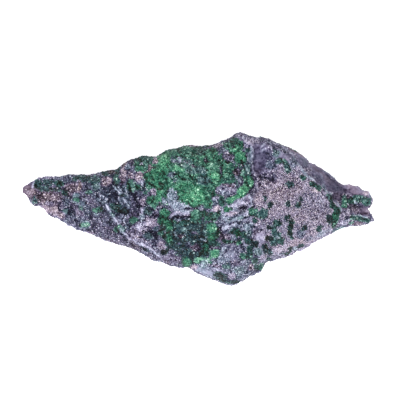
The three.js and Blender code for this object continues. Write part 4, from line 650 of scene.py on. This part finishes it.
# ------------------------------------------------------------------ the rock
def fine_rock(node, voxel):
    """The solid's surface as an even mesh of small quads, in mm."""
    mesh = node.data.copy()
    bm = bmesh.new()
    bm.from_mesh(mesh)
    bmesh.ops.scale(bm, vec=(1000, 1000, 1000), verts=bm.verts)
    bmesh.ops.remove_doubles(bm, verts=bm.verts, dist=0.001)
    bm.to_mesh(mesh)
    bm.free()
    temp = bpy.data.objects.new("remesh", mesh)
    bpy.context.scene.collection.objects.link(temp)
    modifier = temp.modifiers.new("remesh", "REMESH")
    modifier.mode = "VOXEL"
    modifier.voxel_size = voxel
    modifier.adaptivity = 0
    got = temp.evaluated_get(bpy.context.evaluated_depsgraph_get()).to_mesh()
    verts = np.zeros(len(got.vertices) * 3)
    got.vertices.foreach_get("co", verts)
    loops = np.zeros(len(got.loops), np.int32)
    got.loops.foreach_get("vertex_index", loops)
    total = np.zeros(len(got.polygons), np.int32)
    got.polygons.foreach_get("loop_total", total)
    assert (total == 4).all()
    edges = np.zeros(len(got.edges) * 2, np.int32)
    got.edges.foreach_get("vertices", edges)
    temp.to_mesh_clear()
    bpy.data.objects.remove(temp)
    bpy.data.meshes.remove(mesh)
    return verts.reshape(-1, 3), loops.reshape(-1, 4), edges.reshape(-1, 2)

VOXEL = 0.268
verts, quads, edges = fine_rock(nodes["chromite_matrix"], VOXEL)
verts = smoothed(verts, edges, 2)
# remeshing rounds the tips off, so they are drawn out again
c0, r0 = grid_of(verts[:, 0], verts[:, 1])
verts[:, 0] += 0.75 * step(364, 371, c0) - 0.62 * step(34, 26, c0)
verts[:, 1] -= 0.30 * step(266, 282, r0)
for cx, cy, rx, ry, dx, dy in RIM:
    verts[:, :2] += blob(c0, r0, cx, cy, rx, ry, 0, 0.5)[:, None] * (dx, dy)
normals = vertex_normals(verts, quads)
facing = smoothed(normals, edges, 20)
facing /= np.linalg.norm(facing, axis=1, keepdims=True)
verts[:, 1] -= 0.34 * step(0.15, 0.75, -facing[:, 1]) + 0.16 * step(0.15, 0.75, facing[:, 1])

x, y, z = verts.T
look = looks_round(verts, facing[:, 2])
cl, rl = wandered(x, y, 0.8)
on_top = step(-0.05, 0.45, facing[:, 2])
slab = step(-1.2, 1.2, inward(cl, rl, SLAB)) * on_top
flank = 1 - on_top
cover = look[:, COVER]
skin = look[:, SKIN] * (1 - cover)

# broken relief: tilted facets of three sizes, and noise
calm = np.maximum(0.78 * slab, 0.70 * skin)
warp = np.stack([noise(verts, 3.0, 11), noise(verts, 3.0, 12), noise(verts, 3.0, 13)], 1) * 0.6
big, big_edge = facets(verts + warp, 5.2, 21)
mid, mid_edge = facets(verts + 0.5 * warp, 2.3, 22)
small, small_edge = facets(verts + 0.25 * warp, 1.05, 23)
height = (0.36 * big * (0.55 + 0.9 * flank) + 0.24 * mid + 0.16 * small
          + 0.26 * fbm(verts, 3.4, 31, 4, 0.50) + 0.22 * noise(verts, 0.55, 41)) * (1 - calm)
# fine streaks on the bare faces, along the fall of the right end
a = math.radians(-32)
along = x * math.cos(a) + y * math.sin(a)
across = -x * math.sin(a) + y * math.cos(a)
streaks = noise(np.stack([along / 5, across, z], 1), 0.55, 51)
height += skin * (0.07 * streaks + 0.06 * noise(verts, 1.4, 52))

# crevice: nearness to the grooves, used below to paint shade into them
lines, crevice = np.zeros(len(verts)), np.zeros(len(verts))
for points, half, amount in RELIEF_LINES:
    near = line_near(cl, rl, points, half)
    lines += 0.6 * amount * near
    if amount < 0:
        crevice = np.maximum(crevice, min(1.0, 0.3 + 0.5 * abs(amount)) * near)
for cx, cy, rx, ry, angle, amount in RELIEF_BLOBS:
    lines += amount * blob(cl, rl, cx, cy, rx, ry, angle, 0.6)
lines *= on_top
crevice *= on_top

# pale marks stand a little proud and dark ones lie a little low
level = look[:, TONE] * (1 - cover) + (0.12 + 0.75 * look[:, TINT]) * cover
proud = level - smoothed(level, edges, 60)
lines += 0.75 * proud * (1 - 0.6 * slab) * on_top

# lumps of the crusts: the crystals sit on these
lump, lump_edge = facets(verts + 0.4 * warp, 1.6, 61)
knots, knots_edge = facets(verts + 0.2 * warp, 0.85, 63)
lumps = cover * (0.32 * lump_edge + 0.22 * knots_edge + 0.18 * noise(verts, 1.3, 62) - 0.10)

rim = 1 - np.abs(facing[:, 2]) ** 0.7      # where the outline is seen edge on
verts = verts + facing * ((height * (1 - 0.55 * rim))[:, None])
verts[:, 2] += lines * (1 - 0.8 * rim) + lumps * (1 - 0.6 * rim)
verts = smoothed(verts, edges, 1, 0.22)
# the underside rests flat: nothing reaches below the surface, and the middle stays on it
low = verts[:, 2] < 0.35
verts[:, 2] = np.where(low, np.maximum(verts[:, 2], 0.0), verts[:, 2])
normals = vertex_normals(verts, quads)

# hollows and edges, measured on the finished surface
fine = smoothed(verts, edges, 3)
broad = smoothed(fine, edges, 40)
curve_fine = np.einsum("ij,ij->i", fine - verts, normals)
curve_broad = np.einsum("ij,ij->i", broad - fine, normals)
cavity = np.clip(0.5 + curve_fine * 6.0 + curve_broad * 1.15, 0, 1)   # 1 deep, 0 on edges

look = looks_round(verts, facing[:, 2])
cover = look[:, COVER]
ragged = cover + (0.30 * noise(verts, 0.9, 305) + 0.26 * noise(verts, 0.5, 306)) * step(0.02, 0.3, cover)
film = step(0.15, 0.60, ragged)
bare = look[:, SKIN]
# painted shade: the tone darkens along the crevices, and the rock under the slab's grains and the loose grains is
# darkened as the shade between them
tone = (look[:, TONE] + 0.08 * noise(verts, 0.9, 81) * (1 - 0.7 * skin) + (0.07 * noise(verts, 2.4, 82) + 0.07 * noise(verts, 0.8, 83)) * skin - 0.20 * crevice
        - 0.30 * slab * (1 - bare) - 0.06 * (1 - slab) * (1 - skin))
rock_mesh = new_mesh(
    "rock", verts, quads, smooth=True,
    look_a=np.stack([np.clip(tone, 0, 1), look[:, HUE], look[:, SKIN] * (1 - slab), film], 1),
    look_b=np.stack([look[:, TINT], look[:, GREEN], cavity, slab], 1),
)

# ------------------------------------------------------------------ materials
def material(name):
    m = bpy.data.materials.new(name)
    m.use_nodes = True
    m.node_tree.nodes.clear()
    t = m.node_tree
    out = t.nodes.new("ShaderNodeOutputMaterial")
    shader = t.nodes.new("ShaderNodeBsdfPrincipled")
    t.links.new(shader.outputs["BSDF"], out.inputs["Surface"])
    return m, t, shader


def node(t, kind, inputs=(), **settings):
    n = t.nodes.new(kind)
    for key, value in settings.items():
        setattr(n, key, value)
    for key, value in (inputs.items() if isinstance(inputs, dict) else inputs):
        socket = n.inputs[key]
        if isinstance(value, bpy.types.NodeSocket):
            t.links.new(value, socket)
        else:
            socket.default_value = value
    return n


def mixed(t, factor, a, b, kind="MIX", clamp=False):
    n = node(t, "ShaderNodeMix", data_type="RGBA", blend_type=kind)
    n.clamp_factor = True
    n.clamp_result = clamp
    for index, value in ((0, factor), (6, a), (7, b)):
        if isinstance(value, bpy.types.NodeSocket):
            t.links.new(value, n.inputs[index])
        else:
            n.inputs[index].default_value = value if index == 0 or len(value) == 4 else (*value, 1)
    return n.outputs[2]


def maths(t, operation, a, b=None, c=None, clamp=False):
    n = node(t, "ShaderNodeMath", operation=operation, use_clamp=clamp)
    for index, value in enumerate((a, b, c)):
        if value is None:
            continue
        if isinstance(value, bpy.types.NodeSocket):
            t.links.new(value, n.inputs[index])
        else:
            n.inputs[index].default_value = value
    return n.outputs[0]


def ramp(t, value, *stops):
    """Linear step from 0 to 1, or a colour ramp with stops (place, colour)."""
    n = node(t, "ShaderNodeValToRGB", {"Fac": value})
    r = n.color_ramp
    while len(r.elements) > 1:
        r.elements.remove(r.elements[-1])
    r.elements[0].position, r.elements[0].color = stops[0][0], _rgba(stops[0][1])
    for place, colour in stops[1:]:
        e = r.elements.new(place)
        e.color = _rgba(colour)
    return n.outputs["Color"]


def _rgba(colour):
    if isinstance(colour, (int, float)):
        return (colour, colour, colour, 1)
    return (*colour, 1)


def srgb(code):
    v = [int(code[k:k + 2], 16) / 255 for k in (0, 2, 4)]
    return tuple(u / 12.92 if u <= 0.04045 else ((u + 0.055) / 1.055) ** 2.4 for u in v)


LIGHT, GLARE = 0.90, 0.018     # the studio light on a level face, and what its gloss adds


def seen(code):
    """The surface colour that the studio light shows as the given sRGB colour."""
    return tuple(max(0.002, (v - GLARE) / LIGHT) for v in srgb(code))


def in_mm(t):
    """Object coordinates in millimetres."""
    coord = node(t, "ShaderNodeTexCoord")
    return node(t, "ShaderNodeVectorMath", {0: coord.outputs["Object"], 1: (1000, 1000, 1000)}, operation="MULTIPLY").outputs[0]


def channels(t, name):
    a = node(t, "ShaderNodeAttribute", attribute_name=name)
    s = node(t, "ShaderNodeSeparateColor", {"Color": a.outputs["Color"]})
    return s.outputs[0], s.outputs[1], s.outputs[2], a.outputs["Alpha"]

# The rock's colours by tone (dark to pale) for five hues: teal grey, blue grey, violet, rosy, beige
TONES = (0.0, 0.25, 0.5, 0.75, 1.0)
HUES = (
    ("1a2628", "36484c", "5c7074", "8ca2a6", "c2d4d8"),
    ("1c2430", "394251", "616d7e", "909dae", "c7d0dd"),
    ("201e2f", "3d3a4e", "67637c", "9895ad", "cecbdf"),
    ("281f2b", "4a3f4e", "786b7d", "ab9eaf", "dbd0dc"),
    ("2a2224", "4c4246", "7c6e72", "aea2a2", "dcd4d0"),
)
# The garnets' colours by tint (dark to mint): teal grey and emerald
TINTS = (0.0, 0.2, 0.4, 0.6, 0.8, 1.0)
TEAL = ("131d25", "25363f", "41575f", "637d84", "8ea7aa", "c2d3d2")
EMERALD = ("0f2a24", "1f493b", "37705a", "549270", "76b692", "b4dcc4")


def rock_colour(t, tone, hue):
    colour = ramp(t, tone, *[(p, seen(code)) for p, code in zip(TONES, HUES[0])])
    for k in range(1, 5):
        other = ramp(t, tone, *[(p, seen(code)) for p, code in zip(TONES, HUES[k])])
        colour = mixed(t, ramp(t, hue, (0.25 * (k - 1), 0), (0.25 * k, 1)), colour, other)
    return colour


def garnet_colour(t, tint, green):
    teal = ramp(t, tint, *[(p, seen(code)) for p, code in zip(TINTS, TEAL)])
    emerald = ramp(t, tint, *[(p, seen(code)) for p, code in zip(TINTS, EMERALD)])
    return mixed(t, green, teal, emerald)


def off_centre(t, value, amount):
    """A 0 to 1 value as a swing about 0."""
    return maths(t, "MULTIPLY", maths(t, "SUBTRACT", value, 0.5), amount)


def rock_material():
    m, t, shader = material("chromite_rock")
    mm = in_mm(t)
    tone, hue, skin, film = channels(t, "look_a")
    tint, green, cavity, slab = channels(t, "look_b")
    broad = node(t, "ShaderNodeTexNoise", {"Vector": mm, "Scale": 0.30, "Detail": 4.0, "Roughness": 0.6}).outputs["Fac"]
    middle = node(t, "ShaderNodeTexNoise", {"Vector": mm, "Scale": 1.1, "Detail": 5.0, "Roughness": 0.65}).outputs["Fac"]
    fine_n = node(t, "ShaderNodeTexNoise", {"Vector": mm, "Scale": 3.0, "Detail": 4.0, "Roughness": 0.65}).outputs["Fac"]
    grains = node(t, "ShaderNodeTexVoronoi", {"Vector": mm, "Scale": 2.2, "Randomness": 1.0})
    grain_value = node(t, "ShaderNodeSeparateColor", {"Color": grains.outputs["Color"]}).outputs[0]
    grain_edge = node(t, "ShaderNodeTexVoronoi", {"Vector": mm, "Scale": 2.2, "Randomness": 1.0}, feature="DISTANCE_TO_EDGE").outputs["Distance"]
    # streaks along the fall of the bare faces
    mapped = node(t, "ShaderNodeMapping", {"Vector": mm, "Rotation": (0, 0, math.radians(32)), "Scale": (0.22, 1, 1)}, vector_type="POINT").outputs[0]
    streak = node(t, "ShaderNodeTexNoise", {"Vector": mapped, "Scale": 1.5, "Detail": 5.0, "Roughness": 0.7}).outputs["Fac"]
    rough_rock = maths(t, "SUBTRACT", 1.0, skin)
    value = maths(t, "ADD", tone, off_centre(t, middle, 0.22))
    value = maths(t, "ADD", value, maths(t, "MULTIPLY", off_centre(t, fine_n, 0.85), maths(t, "ADD", maths(t, "MULTIPLY", rough_rock, 0.6), 0.4)))
    value = maths(t, "ADD", value, maths(t, "MULTIPLY", off_centre(t, grain_value, 0.50), rough_rock))
    value = maths(t, "ADD", value, maths(t, "MULTIPLY", off_centre(t, streak, 0.40), skin))
    value = maths(t, "SUBTRACT", value, maths(t, "MULTIPLY", ramp(t, grain_edge, (0.0, 0.18), (0.10, 0)), rough_rock))
    # painted shade in the hollows and painted highlight on the edges: the colour darkens where the surface is concave
    # and pales on ridges
    value = maths(t, "SUBTRACT", value, ramp(t, cavity, (0.52, 0), (0.95, 0.34)))
    value = maths(t, "ADD", value, ramp(t, cavity, (0.10, 0.14), (0.46, 0)), clamp=True)
    colour = rock_colour(t, value, maths(t, "ADD", hue, off_centre(t, broad, 0.5), clamp=True))
    # the green film that the garnets stand on
    under = maths(t, "ADD", maths(t, "MULTIPLY", tint, 0.8), off_centre(t, fine_n, 0.7))
    # painted shade: the film darkens in the hollows
    under = maths(t, "SUBTRACT", under, ramp(t, cavity, (0.48, 0.04), (0.95, 0.35)), clamp=True)
    colour = mixed(t, film, colour, garnet_colour(t, under, green))
    t.links.new(colour, shader.inputs["Base Color"])
    rough = maths(t, "ADD", 0.60, maths(t, "MULTIPLY", fine_n, 0.35))
    t.links.new(rough, shader.inputs["Roughness"])
    shader.inputs["Specular IOR Level"].default_value = 0.22
    height = maths(t, "ADD", maths(t, "MULTIPLY", fine_n, 0.7), maths(t, "MULTIPLY", ramp(t, grain_edge, (0, 0), (0.14, 1)), 0.3))
    bump = node(t, "ShaderNodeBump", {"Height": height, "Strength": 0.6, "Distance": 0.00016})
    t.links.new(bump.outputs[0], shader.inputs["Normal"])
    return m


def garnet_material():
    m, t, shader = material("uvarovite_garnet")
    mm = in_mm(t)
    tint, green, deep, _ = channels(t, "crystal")
    fine_n = node(t, "ShaderNodeTexNoise", {"Vector": mm, "Scale": 2.6, "Detail": 3.0, "Roughness": 0.6}).outputs["Fac"]
    value = maths(t, "ADD", tint, off_centre(t, fine_n, 0.36), clamp=True)
    colour = garnet_colour(t, value, green)
    # painted shade: crystals in deep hollows are mixed towards a near-black green
    colour = mixed(t, maths(t, "MULTIPLY", deep, 0.70), colour, seen("0a1a1a"))
    t.links.new(colour, shader.inputs["Base Color"])
    shader.inputs["Roughness"].default_value = 0.46
    shader.inputs["IOR"].default_value = 1.50
    bump = node(t, "ShaderNodeBump", {"Height": fine_n, "Strength": 0.15, "Distance": 0.00008})
    t.links.new(bump.outputs[0], shader.inputs["Normal"])
    return m


def grain_material():
    m, t, shader = material("pale_grain")
    mm = in_mm(t)
    hue, tone, luck, _ = channels(t, "grain")
    fine_n = node(t, "ShaderNodeTexNoise", {"Vector": mm, "Scale": 3.4, "Detail": 3.0, "Roughness": 0.6}).outputs["Fac"]
    value = maths(t, "ADD", tone, off_centre(t, fine_n, 0.26), clamp=True)
    hue = maths(t, "ADD", hue, off_centre(t, luck, 0.14), clamp=True)
    t.links.new(rock_colour(t, value, hue), shader.inputs["Base Color"])
    shader.inputs["Roughness"].default_value = 0.55
    shader.inputs["Specular IOR Level"].default_value = 0.3
    bump = node(t, "ShaderNodeBump", {"Height": fine_n, "Strength": 0.25, "Distance": 0.0001})
    t.links.new(bump.outputs[0], shader.inputs["Normal"])
    return m


rock_m, garnet_m, grain_m = rock_material(), garnet_material(), grain_material()
rock = new_piece("chromite_rock", rock_mesh, rock_m, ["chromite_matrix"])

# ------------------------------------------------------------------ growing crystals on the rock
corner = [verts[quads[:, k]] for k in range(4)]
face_area = 0.5 * np.linalg.norm(np.cross(corner[2] - corner[0], corner[3] - corner[1]), axis=1)
face_mid = sum(corner) / 4
smooth_n = smoothed(normals, edges, 4)
smooth_n /= np.linalg.norm(smooth_n, axis=1, keepdims=True)
face_n = sum(smooth_n[quads[:, k]] for k in range(4))
face_n /= np.linalg.norm(face_n, axis=1, keepdims=True)
face_up = sum(facing[quads[:, k], 2] for k in range(4)) / 4
face_cavity = sum(cavity[quads[:, k]] for k in range(4)) / 4


def scatter(weight, spacing, seed, tries=5.0):
    """Places on the rock, evenly spread where weight is 1 and thinner where it is less."""
    rng = np.random.default_rng(seed)
    w = np.clip(weight, 0, 1) * face_area
    total = w.sum()
    if total <= 0:
        return np.zeros(0, int), np.zeros((0, 3))
    count = int(tries * total / (0.7 * spacing * spacing))
    pick = np.searchsorted(np.cumsum(w), rng.random(count) * total)
    pick = np.minimum(pick, len(w) - 1)
    u, v = rng.random((2, count, 1))
    where = ((1 - u) * (1 - v) * corner[0][pick] + u * (1 - v) * corner[1][pick]
             + u * v * corner[2][pick] + (1 - u) * v * corner[3][pick])
    cells, kept = {}, []
    inv = 1.0 / spacing
    limit = spacing * spacing
    key = np.floor(where * inv).astype(int)
    points = where.tolist()
    for n, (kx, ky, kz) in enumerate(key.tolist()):
        px, py, pz = points[n]
        clear = True
        for dx in (-1, 0, 1):
            for dy in (-1, 0, 1):
                for dz in (-1, 0, 1):
                    got = cells.get((kx + dx, ky + dy, kz + dz))
                    if got:
                        for qx, qy, qz in got:
                            if (qx - px) ** 2 + (qy - py) ** 2 + (qz - pz) ** 2 < limit:
                                clear = False
                                break
                    if not clear:
                        break
                if not clear:
                    break
            if not clear:
                break
        if clear:
            cells.setdefault((kx, ky, kz), []).append((px, py, pz))
            kept.append(n)
    kept = np.array(kept, int)
    return pick[kept], where[kept]


def turns(rng, count):
    """Random rotation matrices."""
    q = rng.normal(size=(count, 4))
    q /= np.linalg.norm(q, axis=1, keepdims=True)
    w, a, b, c = q.T
    return np.stack([1 - 2 * (b * b + c * c), 2 * (a * b - c * w), 2 * (a * c + b * w),
                     2 * (a * b + c * w), 1 - 2 * (a * a + c * c), 2 * (b * c - a * w),
                     2 * (a * c - b * w), 2 * (b * c + a * w), 1 - 2 * (a * a + b * b)], 1).reshape(-1, 3, 3)


def upright(normal, rng):
    """Rotations that take +Z to the normals, with a random spin."""
    n = normal / np.linalg.norm(normal, axis=1, keepdims=True)
    helper = rng.normal(size=n.shape)
    u = np.cross(helper, n)
    u /= np.linalg.norm(u, axis=1, keepdims=True)
    v = np.cross(n, u)
    return np.stack([u, v, n], 2)


def dodecahedron():
    """A garnet's rhombic dodecahedron of radius 1 (to its four-fold corners)."""
    points, index = [], {}

    def point(p):
        p = tuple(p)
        if p not in index:
            index[p] = len(points)
            points.append(p)
        return index[p]

    faces = []
    for a, b in ((0, 1), (1, 2), (2, 0)):
        c = 3 - a - b
        for sa in (1, -1):
            for sb in (1, -1):
                ring = []
                for ka, kb, kc in ((2 * sa, 0, 0), (sa, sb, 1), (0, 2 * sb, 0), (sa, sb, -1)):
                    p = [0, 0, 0]
                    p[a], p[b], p[c] = ka, kb, kc
                    ring.append(point(p))
                p0, p1, p2 = (np.array(points[k], float) for k in ring[:3])
                if np.dot(np.cross(p1 - p0, p2 - p0), p0) < 0:
                    ring.reverse()
                faces.append(ring)
    return np.array(points, float) / 2, np.array(faces)


def pebble(seed, level=1):
    """An irregular rounded grain of radius about 1, triangles."""
    bm = bmesh.new()
    bmesh.ops.create_icosphere(bm, subdivisions=level, radius=1.0)
    bm.verts.ensure_lookup_table()
    v = np.array([p.co for p in bm.verts])
    f = np.array([[p.index for p in face.verts] for face in bm.faces])
    bm.free()
    rng = np.random.default_rng(seed)
    # cut by a few planes, which gives cleavage faces
    for _ in range(7):
        n = rng.normal(size=3)
        n /= np.linalg.norm(n)
        reach = rng.uniform(0.62, 0.86)
        over = np.maximum(v @ n - reach, 0)
        v = v - over[:, None] * n
    v *= 1 + rng.uniform(-0.05, 0.05, (len(v), 1))
    return v, f


DODECA = dodecahedron()
CHIPS = [pebble(600 + k, 1) for k in range(8)]


def grow(shapes, where, size, turn, rng, keys):
    """One joined mesh: shape k of shapes at each place, scaled by size (n, 3) and turned."""
    out_v, out_f, out_a, base = [], [], [], 0
    choice = rng.integers(0, len(shapes), len(where))
    for k, (sv, sf) in enumerate(shapes):
        mine = np.where(choice == k)[0]
        if not len(mine):
            continue
        p = sv[None] * size[mine][:, None, :]
        p = np.einsum("nij,nkj->nki", turn[mine], p) + where[mine][:, None, :]
        out_v.append(p.reshape(-1, 3))
        f = sf[None] + (np.arange(len(mine)) * len(sv))[:, None, None] + base
        out_f.append(f.reshape(-1, sf.shape[1]))
        out_a.append(np.repeat(keys[mine], len(sv), 0))
        base += len(mine) * len(sv)
    return np.concatenate(out_v), np.concatenate(out_f), np.concatenate(out_a)


up = step(-0.05, 0.20, face_up)
face_look = looks_round(face_mid, face_up)
face_cover = face_look[:, COVER]
face_cover = face_cover + (0.30 * noise(face_mid, 0.9, 305) + 0.26 * noise(face_mid, 0.5, 306)) * step(0.02, 0.3, face_cover)
on_flank = step(1.2, 3.0, face_mid[:, 2]) * (1 - up)
fc, fr = wandered(face_mid[:, 0], face_mid[:, 1], 0.8)
on_slab = step(-1.0, 1.0, inward(fc, fr, SLAB)) * up


def flecks(rng, count, usual, dark, pale):
    """Each crystal's own lightness: mostly near 0, some much darker and some much paler."""
    out = rng.normal(size=count) * usual
    roll = rng.random(count)
    out -= np.where(roll < dark, rng.uniform(0.15, 0.35, count), 0)
    out += np.where(roll > 1 - pale, rng.uniform(0.18, 0.42, count), 0)
    return out


# the garnets: two generations of crystals over all the crusts, shared out to the solids by place
rng = np.random.default_rng(1000)
weight = step(0.36, 0.62, face_cover) * np.maximum(up, 0.6 * on_flank)
picks, places, radii = [], [], []
large = 0.10 + 0.28 * step(0.20, 0.55, face_look[:, TINT])       # the bright crusts have the larger crystals
for spacing, lo, hi, share in ((0.56, 0.20, 0.30, large), (0.25, 0.125, 0.19, 1.0)):
    pick, where = scatter(weight * share, spacing, int(spacing * 10000))
    picks.append(pick)
    places.append(where)
    radii.append(rng.uniform(lo, hi, len(pick)))
pick, where, radius = np.concatenate(picks), np.concatenate(places), np.concatenate(radii)
count = len(pick)
grown = looks_round(where, face_up[pick])
lump_noise = 0.12 * noise(where, 0.8, 311) + 0.10 * noise(where, 2.4, 312)
# painted shade and painted highlight: crystals in hollows get a darker tint, those on edges a paler one; the third key
# marks the deep hollows for the material's painted shade
tint = grown[:, TINT] + lump_noise - 0.45 * (face_cavity[pick] - 0.5) + flecks(rng, count, 0.12, 0.15, 0.015 + 0.085 * (1 - grown[:, GREEN]))
green = grown[:, GREEN] + (0.20 * noise(where, 1.8, 313) + rng.normal(size=count) * 0.08) * (0.35 + 0.65 * grown[:, GREEN])
keys = np.stack([np.clip(tint, 0, 1), np.clip(green, 0, 1), step(0.56, 0.95, face_cavity[pick]), np.ones(count)], 1)
where = where + face_n[pick] * (radius * rng.uniform(-0.15, 0.50, count))[:, None]
size = radius[:, None] * rng.uniform(0.85, 1.15, (count, 3))
turn = turns(rng, count)
gc, gr = grid_of(where[:, 0], where[:, 1])
reach = np.stack([inward(gc, gr, points) for points in CRUSTS.values()])
owner = np.where(reach.max(0) > -4.0, reach.argmax(0), -1)
for k, node_name in enumerate([*CRUSTS, None]):
    mine = np.nonzero(owner == (k if node_name else -1))[0]
    v, f, a = grow([DODECA], where[mine], size[mine], turn[mine], rng, keys[mine])
    v[:, 2] = np.maximum(v[:, 2], 0.0)
    name = node_name.replace("uvarovite_", "garnets_") if node_name else "garnets_specks"
    new_piece(name, new_mesh(name, v, f, crystal=a), garnet_m, [node_name] if node_name else ())


def grains(name, weight, spacing, lo, hi, flat, seed, tone, hue, luck, replaced=()):
    """Chips of pale mineral over the rock."""
    rng = np.random.default_rng(seed)
    pick, where = scatter(weight, spacing, seed)
    n = len(pick)
    radius = rng.uniform(lo, hi, n)
    turn = upright(face_n[pick] + rng.normal(size=(n, 3)) * 0.25, rng)
    size = radius[:, None] * np.stack([rng.uniform(0.85, 1.2, n), rng.uniform(0.85, 1.2, n), flat * rng.uniform(0.8, 1.2, n)], 1)
    where = where + face_n[pick] * (radius * rng.uniform(-0.10, 0.25, n))[:, None]
    usual, dark, pale = luck
    light = np.clip(tone[pick], 0, 1)
    # painted shade and painted highlight: grains in hollows are darker, grains on edges paler
    value = tone[pick] - 0.35 * (face_cavity[pick] - 0.5) + flecks(rng, n, usual, dark * (1.4 - 0.8 * light), pale * (0.35 + 1.3 * light))
    keys = np.stack([np.clip(hue[pick] + rng.normal(size=n) * 0.07, 0, 1), np.clip(value, 0, 1), rng.random(n), np.ones(n)], 1)
    v, f, keys = grow(CHIPS, where, size, turn, rng, keys)
    v[:, 2] = np.maximum(v[:, 2], 0.0)
    return new_piece(name, new_mesh(name, v, f, grain=keys), grain_m, replaced)


face_tone = face_look[:, TONE] + 0.08 * noise(face_mid, 0.9, 81)
face_hue = face_look[:, HUE] + 0.10 * noise(face_mid, 4.0, 92) + 0.12 * noise(face_mid, 1.2, 93)
clear = 1 - step(0.30, 0.56, face_cover)
grains("chlorite_coat", on_slab * clear * (1 - 0.8 * face_look[:, SKIN]), 0.228, 0.102, 0.160, 0.85, 3000, face_tone + 0.14, face_hue,
       (0.16, 0.14, 0.08), ["chlorite_slab_coat"])
bare = step(0.12, 0.62, face_look[:, SKIN])
patchy = step(-0.35, 0.25, fbm(face_mid, 2.2, 94, 3, 0.6))
loose = up * (1 - on_slab) * clear * (1 - bare) * (0.35 + 0.65 * patchy) * np.clip(0.20 + 1.25 * face_tone, 0, 1)
left = face_mid[:, 0] < -12.0
for name, place, seed in (("arm_grains", left, 3100), ("rock_grains", ~left, 3150)):
    grains(name, loose * place, 0.27, 0.11, 0.185, 0.85, seed, face_tone, face_hue, (0.26, 0.18, 0.20))
grains("flank_grains", on_flank * clear * (1 - bare) * (0.10 + 0.50 * step(-0.05, 0.45, fbm(face_mid, 3.4, 97, 3))), 0.46, 0.15, 0.28, 0.7, 3200,
       face_tone + 0.05, face_hue, (0.12, 0.15, 0.10))

# ------------------------------------------------------------------ stage
floor_mesh = bpy.data.meshes.new("floor")
floor_mesh.from_pydata([(-3, -3, 0), (3, -3, 0), (3, 3, 0), (-3, 3, 0)], [], [(0, 1, 2, 3)])
floor = bpy.data.objects.new("floor", floor_mesh)
floor.location.z = -0.00002
bpy.context.scene.collection.objects.link(floor)
m, t, shader = material("floor_white")
shader.inputs["Base Color"].default_value = (0.9, 0.9, 0.9, 1)
shader.inputs["Roughness"].default_value = 0.9
shader.inputs["Emission Color"].default_value = (1, 1, 1, 1)
shader.inputs["Emission Strength"].default_value = 0.80
floor_mesh.materials.append(m)
floor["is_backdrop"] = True

world = bpy.data.worlds.new("world")
bpy.context.scene.world = world
world.use_nodes = True
world.node_tree.nodes["Background"].inputs["Color"].default_value = (1, 1, 1, 1)
world.node_tree.nodes["Background"].inputs["Strength"].default_value = 0.17


def softbox(name, place, aim, size, power, colour=(1, 1, 1)):
    data = bpy.data.lights.new(name, "AREA")
    data.shape = "DISK"
    data.size = size
    data.energy = power
    data.color = colour
    lamp = bpy.data.objects.new(name, data)
    lamp.location = place
    lamp.rotation_euler = (Vector(aim) - Vector(place)).to_track_quat("-Z", "Y").to_euler()
    bpy.context.scene.collection.objects.link(lamp)


softbox("key", (-0.12, -0.22, 0.40), (0, 0, 0.01), 0.11, 2.82)
softbox("fill", (0.28, -0.04, 0.40), (0, 0, 0.01), 0.30, 0.45)
softbox("back", (-0.10, 0.36, 0.26), (0, 0, 0.01), 0.30, 0.80)

bpy.context.scene.view_settings.view_transform = "Standard"
bpy.context.scene.view_settings.look = "None"


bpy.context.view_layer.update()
total = sum(sum(len(p.vertices) - 2 for p in o.data.polygons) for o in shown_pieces())
for o in sorted(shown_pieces(), key=lambda o: o.name):
    print("PIECE", o.name, sum(len(p.vertices) - 2 for p in o.data.polygons))
print("TRIANGLES", total)
